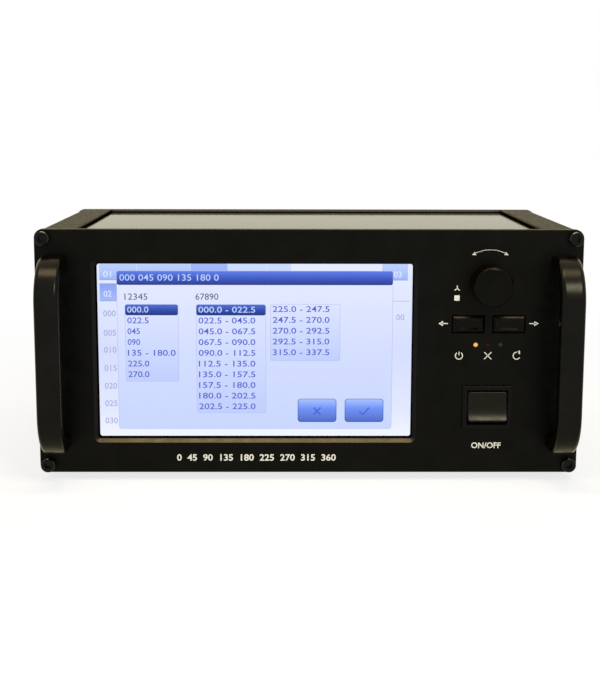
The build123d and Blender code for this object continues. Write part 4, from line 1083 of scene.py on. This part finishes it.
@dataclass
class ControlCluster:
    """Knob, encoder, arrow buttons, indicator lights and the marks printed round them.

    Attributes:
        arc_gap: From the knob to its arrow.
        arc_reach: Half of the arrow's sweep, in degrees.
        arc_head: Length and width of its heads.
        arc_tip: From the end of its line to the tip of a head, in degrees.
        arc_lean: Angle between a head and the line from the knob's middle, in degrees.
        line: Width of a printed line.
        head: Length of an arrow head.
        arrow: Length of the arrows beside the buttons.
        arrow_gap: From a button to the middle of its arrow.
        arrow_rise: From a button's middle to its arrow.
        stop_left: From the knob's middle to the stop mark.
        stop_drop: The same, downwards.
        press_rise: From the stop mark to the press mark over it.
        spoke: Length of the press mark's strokes.
        label_drop: From the lights to the marks under them.
        label_step: Distance between those marks.
        mark: Height of a mark.
    """

    arc_gap: float = 6.85 * MM
    arc_reach: float = 28.0
    arc_head: Pair = (1.87 * MM, 1.76 * MM)
    arc_tip: float = 4.5
    arc_lean: float = 84.0
    line: float = 0.45 * MM
    head: float = 2.2 * MM
    arrow: float = 4.7 * MM
    arrow_gap: float = 3.5 * MM
    arrow_rise: float = 0.35 * MM
    stop_left: float = 15.7 * MM
    stop_drop: float = 7.05 * MM
    press_rise: float = 4.6 * MM
    spoke: float = 1.5 * MM
    label_drop: float = 5.35 * MM
    label_step: float = 14.15 * MM
    mark: float = 3.5 * MM

    # Angles in degrees, from X towards Z.
    TOP = 90.0
    SPOKES = (90, 215, 325)
    POWER_RING = (125, 415)
    TURN_RING = (60, 330)
    TURN_TIP = 22
    TURN_HEADING = 300

    THIN = 0.5              # width of the knob's arrow, as a share of a printed line
    STOP_HALF = 0.37        # half of the stop mark, as a share of a mark
    HEAD_WIDTH = 1.15       # width of a button's arrow head, as a share of its length
    TURN_HEAD = 0.8         # turning arrow's head, as a share of an arrow head
    STEM_LIFT = 0.2 * MM    # from the middle of the power mark to its stroke
    ARC_STEPS = 28
    RING_STEPS = 24

    KNOB = Finish("turned_knob", (0.0075, 0.0072, 0.0056, 1.0), 0.16, metallic=1.0,
                  tint=(0.9, 0.7, 0.4, 1.0), smudge=0.03, grain=0.0000005)
    BUTTON = Finish("moulded_button", (0.0022, 0.0022, 0.0019, 1.0), 0.26, specular=0.08,
                    tint=(1.0, 0.9, 0.7, 1.0), grain=0.000002)
    AMBER = LitFinish("glowing_amber", shades((0.0, 170, 90, 24), (0.4, 252, 196, 108),
                                              (0.6, 252, 196, 108), (1.0, 170, 96, 30)))
    RED = Finish("red_lens", paint_colour(46, 12, 12), 0.3, specular=0.08)
    GREEN = Finish("green_lens", paint_colour(44, 47, 32), 0.3, specular=0.08)
    METAL = Finish("plated_encoder", (0.5, 0.49, 0.46, 1.0), 0.32, metallic=1.0, patch=0.006)

    def build(self) -> None:
        """Dress the nodes and print the marks."""
        dress(self.KNOB, "control_knob")
        dress(self.BUTTON, "button_left", "button_right")
        dress(self.AMBER, "led_amber")
        dress(self.RED, "led_red")
        dress(self.GREEN, "led_green")
        dress(self.METAL, "encoder_shaft", "encoder_nut", "encoder_body", "knob_set_screw")
        self.print_knob_marks()
        self.print_arrows()
        self.print_light_marks()

    def print_knob_marks(self) -> None:
        """Print the double arrow over the knob and the press and stop marks beside it."""
        knob = NodeBox.of("control_knob")
        middle = (knob.middle.x, knob.middle.z)
        radius = (knob.high.x - knob.low.x) / 2 + self.arc_gap
        layer = Stencil.on_panel(Facing.FRONT)
        ends = (self.TOP - self.arc_reach, self.TOP + self.arc_reach)
        layer.stroke(arc(middle, radius, *ends, self.ARC_STEPS), self.line * self.THIN)
        for side in (-1, 1):
            tip = self.TOP - side * (self.arc_reach + self.arc_tip)
            place = on_circle(middle, radius, tip)
            layer.arrow_head(place, tip - side * self.arc_lean, *self.arc_head)
        layer.piece("knob_arrow_print", PRINT_WHITE)
        self.print_stop_mark(middle)

    def print_stop_mark(self, knob: Pair) -> None:
        """Print a filled square, and over it three strokes that meet at a point.

        Args:
            knob: The knob's middle.
        """
        layer = Stencil.on_panel(Facing.FRONT)
        x, z = knob[0] - self.stop_left, knob[1] - self.stop_drop
        half = self.mark * self.STOP_HALF
        low, high = (x - half, z - half), (x + half, z + half)
        layer.outline([low, (high[0], low[1]), high, (low[0], high[1])])
        hub = (x, z + self.press_rise)
        for angle in self.SPOKES:
            layer.stroke([hub, on_circle(hub, self.spoke, angle)], self.line)
        layer.piece("stop_mark_print", PRINT_WHITE)

    def print_arrows(self) -> None:
        """Print an arrow on the outer side of each arrow button."""
        for side, node in ((-1, "button_left"), (1, "button_right")):
            button = NodeBox.of(node)
            edge = button.low.x if side < 0 else button.high.x
            z = button.middle.z + self.arrow_rise
            tail = edge + side * (self.arrow_gap - self.arrow / 2)
            tip = tail + side * self.arrow
            heading = self.TOP - self.TOP * side
            layer = Stencil.on_panel(Facing.FRONT)
            layer.stroke([(tail, z), (tip - side * self.head / 2, z)], self.line)
            layer.arrow_head((tip, z), heading, self.head, self.head * self.HEAD_WIDTH)
            layer.piece(f"{node}_arrow_print", PRINT_WHITE)

    def print_light_marks(self) -> None:
        """Print a power mark, a cross and a turning arrow under the lights."""
        red = NodeBox.of("led_red").middle
        z = red.z - self.label_drop
        radius = self.mark / 2
        layer = Stencil.on_panel(Facing.FRONT)
        x = red.x - self.label_step
        layer.stroke(arc((x, z), radius, *self.POWER_RING, self.RING_STEPS), self.line)
        layer.stroke([(x, z + self.STEM_LIFT), (x, z + radius + self.line / 2)], self.line)
        for slope in (-1, 1):
            ends = [(red.x - radius, z - radius * slope), (red.x + radius, z + radius * slope)]
            layer.stroke(ends, self.line)
        x = red.x + self.label_step
        layer.stroke(arc((x, z), radius, *self.TURN_RING, self.RING_STEPS), self.line)
        tip, head = on_circle((x, z), radius, self.TURN_TIP), self.head * self.TURN_HEAD
        layer.arrow_head(tip, self.TURN_HEADING, head, head)
        layer.piece("light_marks_print", PRINT_WHITE)


@dataclass
class PowerSwitch:
    """Rocker switch, its housing and the words under it.

    Attributes:
        drop: From the bezel to the middle of the words.
        figure: Height of the letters.
    """

    drop: float = 8.6 * MM
    figure: float = 2.95 * MM

    HOUSING = Finish("moulded_housing", (0.0025, 0.0025, 0.002, 1.0), 0.4, specular=0.08,
                     grain=0.000003)
    ROCKER = Finish("moulded_rocker", (0.003, 0.0028, 0.0022, 1.0), 0.28, specular=0.16,
                    tint=(1.0, 0.9, 0.72, 1.0), grain=0.000003)

    def build(self) -> None:
        """Dress the switch and print its two words."""
        dress(self.HOUSING, "power_switch_housing")
        dress(self.ROCKER, "power_rocker")
        bezel = NodeBox.of("power_switch_housing")
        layer = Stencil.on_panel(Facing.FRONT)
        place = (bezel.middle.x, bezel.low.z - self.drop)
        layer.figures("ON/OFF", self.figure, place, weight=BOLD)
        layer.piece("switch_print", PRINT_WHITE)


@dataclass
class ScaleLine:
    """Plain bearings printed along the foot of the front panel.

    Attributes:
        left: Left end, from the panel's middle.
        right: Right end.
        low: Middle of the figures, below the panel's middle.
        figure: Height of the figures.
        step: Degrees between two figures.
    """

    left: float = -65.2 * MM
    right: float = 13.4 * MM
    low: float = -52.6 * MM
    figure: float = 3.3 * MM
    step: int = 45

    def build(self) -> None:
        """Print the bearings."""
        bearings = range(0, FULL_TURN + 1, self.step)
        words = "  ".join(str(bearing) for bearing in bearings)
        layer = Stencil.on_panel(Facing.FRONT)
        place = ((self.left + self.right) / 2, NodeBox.of("front_panel").middle.z + self.low)
        layer.figures(words, self.figure, place, weight=BOLD, width=self.right - self.left)
        layer.piece("bearing_print", PRINT_WHITE)


@dataclass
class RearFittings:
    """Mains inlet, fuse, terminals, ports and the marks printed beside them.

    Attributes:
        figure: Height of the printed figures.
        gap: From a fitting to its mark.
        ways: Number of the terminal's ways.
        line: Width of the ground mark's lines.
        bars: Number of its bars.
        bar: Length of the longest one.
        bar_step: Distance between two of them.
        stem: Length of the line that stands on them.
    """

    figure: float = 2.6 * MM
    gap: float = 2.6 * MM
    ways: int = 8
    line: float = 0.35 * MM
    bars: int = 3
    bar: float = 4.0 * MM
    bar_step: float = 0.9 * MM
    stem: float = 1.8 * MM

    NYLON = Finish("moulded_nylon", (0.009, 0.009, 0.0085, 1.0), 0.42, specular=0.4, grain=0.000005)
    NICKEL = Finish("bright_nickel", (0.62, 0.6, 0.55, 1.0), 0.24, metallic=1.0, patch=0.008)
    BRASS = Finish("turned_brass", (0.62, 0.44, 0.16, 1.0), 0.3, metallic=1.0, patch=0.004)
    GREEN = Finish("moulded_green", (0.02, 0.22, 0.07, 1.0), 0.42, grain=0.000004)
    FUSE = Finish("fuse_tube", (0.5, 0.52, 0.52, 1.0), 0.15, coat=0.6)

    def build(self) -> None:
        """Dress the fittings and print their marks."""
        dress(self.NYLON, "mains_inlet", "fuse_drawer")
        dress(self.NICKEL, "mains_blades", "network_socket", "usb_socket", "terminal_screws")
        dress(self.BRASS, "ground_terminal")
        dress(self.GREEN, "rotator_header", "rotator_plug")
        dress(self.FUSE, "mains_fuse")
        self.print_terminals()
        self.print_ground()

    def print_terminals(self) -> None:
        """Print a number over each way of the rotator terminal."""
        plug = NodeBox.of("rotator_plug")
        step = (plug.high.x - plug.low.x) / self.ways
        layer = Stencil.on_panel(Facing.REAR)
        for way in range(self.ways):
            place = (plug.high.x - step * (way + 0.5), plug.high.z + self.gap)
            layer.figures(str(way + 1), self.figure, place, weight=SEMI_BOLD)
        layer.piece("terminal_print", PRINT_WHITE)

    def print_ground(self) -> None:
        """Print the ground mark over the ground stud."""
        stud = NodeBox.of("ground_terminal")
        x, z = stud.middle.x, stud.high.z + self.gap
        layer = Stencil.on_panel(Facing.REAR)
        for bar in range(self.bars):
            half = self.bar / 2 * (1 - bar / self.bars)
            height = z + (self.bars - 1 - bar) * self.bar_step
            layer.stroke([(x - half, height), (x + half, height)], self.line)
        foot = z + (self.bars - 1) * self.bar_step
        layer.stroke([(x, foot), (x, foot + self.stem)], self.line)
        layer.piece("ground_print", PRINT_WHITE)


@dataclass
class Interior:
    """Boards, transformer and hardware inside the case."""

    BOARD = Finish("solder_mask", (0.01, 0.08, 0.03, 1.0), 0.3, coat=0.3, patch=0.004, shade=0.3)
    CHIP = Finish("chip_resin", (0.012, 0.012, 0.013, 1.0), 0.55, grain=0.000004)
    RELAY = Finish("moulded_relay", (0.02, 0.03, 0.05, 1.0), 0.4)
    SLEEVE = Finish("shrink_sleeve", (0.01, 0.012, 0.03, 1.0), 0.3, coat=0.3)
    ALUMINIUM = Finish("extruded_aluminium", (0.62, 0.62, 0.63, 1.0), 0.38, metallic=1.0,
                       stretch=(1.0, 1.0, 0.05), patch=0.002)
    TAPE = Finish("winding_tape", (0.55, 0.36, 0.05, 1.0), 0.4, patch=0.006, shade=0.25,
                  stretch=(1.0, 1.0, 0.2))
    RUBBER = Finish("soft_pad", (0.02, 0.02, 0.02, 1.0), 0.8)
    LED_CHIP = Finish("white_chip", (0.6, 0.58, 0.5, 1.0), 0.4)
    ZINC = Finish("zinc_plate", (0.52, 0.52, 0.5, 1.0), 0.35, metallic=1.0, patch=0.01, shade=0.2)

    def build(self) -> None:
        """Dress every node inside the case."""
        dress(self.BOARD, "main_board", "control_board", "display_board")
        dress(self.CHIP, "board_chips", "power_transistors", "button_switches", "encoder_rotor")
        dress(self.RELAY, "relays")
        dress(self.SLEEVE, "capacitors")
        dress(self.ALUMINIUM, "heatsink")
        dress(self.TAPE, "transformer_coil")
        dress(self.RUBBER, "transformer_pads")
        dress(self.LED_CHIP, "led_chips")
        dress(self.ZINC, "board_screws", "board_spacers", "display_clamps", "m3_nuts",
              "panel_studs", "standoffs", "transformer_bolt", "transformer_washer")


@dataclass(frozen=True)
class Lamp:
    """Soft rectangular lamp.

    Attributes:
        name: Name of the lamp.
        place: Where it hangs.
        aim: The point that it faces.
        size: Its width and depth in metres.
        power: Its power in watts.
        colour: Its colour.
    """

    name: str
    place: Triple
    aim: Triple
    size: Pair
    power: float
    colour: Triple

    def hang(self) -> None:
        """Add the lamp to the scene."""
        data = bpy.data.lights.new(self.name, "AREA")
        data.shape = "RECTANGLE"
        data.size, data.size_y = self.size
        data.energy = self.power
        data.color = self.colour
        lamp = bpy.data.objects.new(self.name, data)
        lamp.location = self.place
        ahead = Vector(self.aim) - Vector(self.place)
        lamp.rotation_euler = ahead.to_track_quat("-Z", "Y").to_euler()
        bpy.context.scene.collection.objects.link(lamp)


@dataclass
class Studio:
    """Table, background, lamps and camera.

    Attributes:
        eye: Where the camera stands.
        pitch: How far it looks down, in radians.
        yaw: How far it turns to the right.
        roll: How far it leans.
        lens: Its focal length in millimetres, on a 36 mm sensor.
        table: Half of the table's width.
        glow: White share of the table beside the object, which leaves the rest to its shadow.
        fade: Distances from the origin between which the table turns wholly white.
        sky: Light that the background gives.
    """

    eye: Triple = (-0.010169, -0.720833, 0.179245)
    pitch: float = 0.16913
    yaw: float = 0.00868
    roll: float = 0.00222
    lens: float = 70.87
    table: float = 4.0
    glow: float = 0.78
    fade: Pair = (0.2, 0.55)
    sky: Colour = (0.32, 0.37, 0.45, 1.0)

    LAMPS = (
        Lamp("ceiling_panel", (-0.05, -0.18, 1.05), (-0.05, -0.18, 0.0), (0.8, 0.32), 9.0,
             (1.0, 0.82, 0.55)),
        Lamp("right_panel", (0.28, -0.78, 0.75), (0.12, -0.09, 0.1), (0.3, 0.3), 5.2,
             (1.0, 0.97, 0.8)),
    )
    TABLE_COLOUR = (0.9, 0.9, 0.9, 1.0)
    NEAREST = 0.01          # metres from the eye that the camera starts to see at

    def build(self) -> None:
        """Set up the whole studio."""
        bpy.context.scene.view_settings.view_transform = "Standard"
        self.build_camera()
        self.build_world()
        self.build_table()
        for lamp in self.LAMPS:
            lamp.hang()
        LOG.info("set up the studio")

    def build_camera(self) -> None:
        """Place the camera and make it the scene's own."""
        across = Vector((math.cos(self.yaw), -math.sin(self.yaw), 0.0))
        ahead = Vector((math.sin(self.yaw) * math.cos(self.pitch),
                        math.cos(self.yaw) * math.cos(self.pitch), -math.sin(self.pitch)))
        upright = across.cross(ahead)
        right = across * math.cos(self.roll) + upright * math.sin(self.roll)
        up = upright * math.cos(self.roll) - across * math.sin(self.roll)
        turn = Matrix((right, up, -ahead)).transposed()
        data = bpy.data.cameras.new("camera")
        data.lens = self.lens
        data.clip_start = self.NEAREST
        camera = bpy.data.objects.new("camera", data)
        camera.matrix_world = Matrix.Translation(Vector(self.eye)) @ turn.to_4x4()
        bpy.context.scene.collection.objects.link(camera)
        bpy.context.scene.camera = camera

    @staticmethod
    def seen_directly(shader: Shader) -> bpy.types.NodeSocket:
        """Tell what is seen apart from what lights.

        Args:
            shader: The node tree that asks.

        Returns:
            1 for what is seen, also by reflection or through glass, and 0 for lighting.
        """
        path = shader.node("ShaderNodeLightPath", {})
        share = path.outputs["Is Camera Ray"]
        for kind in ("Is Glossy Ray", "Is Transmission Ray"):
            share = shader.math("MAXIMUM", share, path.outputs[kind])
        return share

    def build_world(self) -> None:
        """Make a white background and the softer light that it gives."""
        world = bpy.data.worlds.new("studio_world")
        bpy.context.scene.world = world
        shader = Shader(world)
        lit = shader.node("ShaderNodeBackground", {"Color": self.sky})
        white = shader.node("ShaderNodeBackground", {"Color": WHITE})
        values = {0: self.seen_directly(shader), 1: lit.outputs[0], 2: white.outputs[0]}
        mix = shader.node("ShaderNodeMixShader", values)
        shader.node("ShaderNodeOutputWorld", {"Surface": mix.outputs[0]})

    def build_table(self) -> None:
        """Build a pale table that keeps the object's shadow on a white ground."""
        draft = bmesh.new()
        bmesh.ops.create_grid(draft, x_segments=1, y_segments=1, size=self.table)
        mesh = bpy.data.meshes.new("table")
        draft.to_mesh(mesh)
        draft.free()
        table = bpy.data.objects.new("table", mesh)
        bpy.context.scene.collection.objects.link(table)
        shader = Shader.surface("white_table")
        lit = shader.node("ShaderNodeBsdfDiffuse", {"Color": self.TABLE_COLOUR})
        glow = shader.node("ShaderNodeEmission", {"Color": WHITE, "Strength": 1.0})
        where = shader.node("ShaderNodeTexCoord", {}).outputs["Object"]
        away = shader.node("ShaderNodeVectorMath", {0: where})
        away.operation = "LENGTH"
        values = {"Value": away.outputs["Value"], "From Min": self.fade[0],
                  "From Max": self.fade[1], "To Min": self.glow}
        fade = shader.node("ShaderNodeMapRange", values).outputs["Result"]
        share = shader.math("MULTIPLY", self.seen_directly(shader), fade)
        values = {0: share, 1: lit.outputs[0], 2: glow.outputs[0]}
        mesh.materials.append(shader.finish(shader.node("ShaderNodeMixShader", values)))


def main() -> None:
    """Build every sub-assembly in order."""
    logging.basicConfig(level=logging.INFO, format="%(name)s: %(message)s")
    Cabinet().build()
    Display().build()
    ControlCluster().build()
    PowerSwitch().build()
    ScaleLine().build()
    RearFittings().build()
    Interior().build()
    Studio().build()


if __name__ == "__main__":
    main()
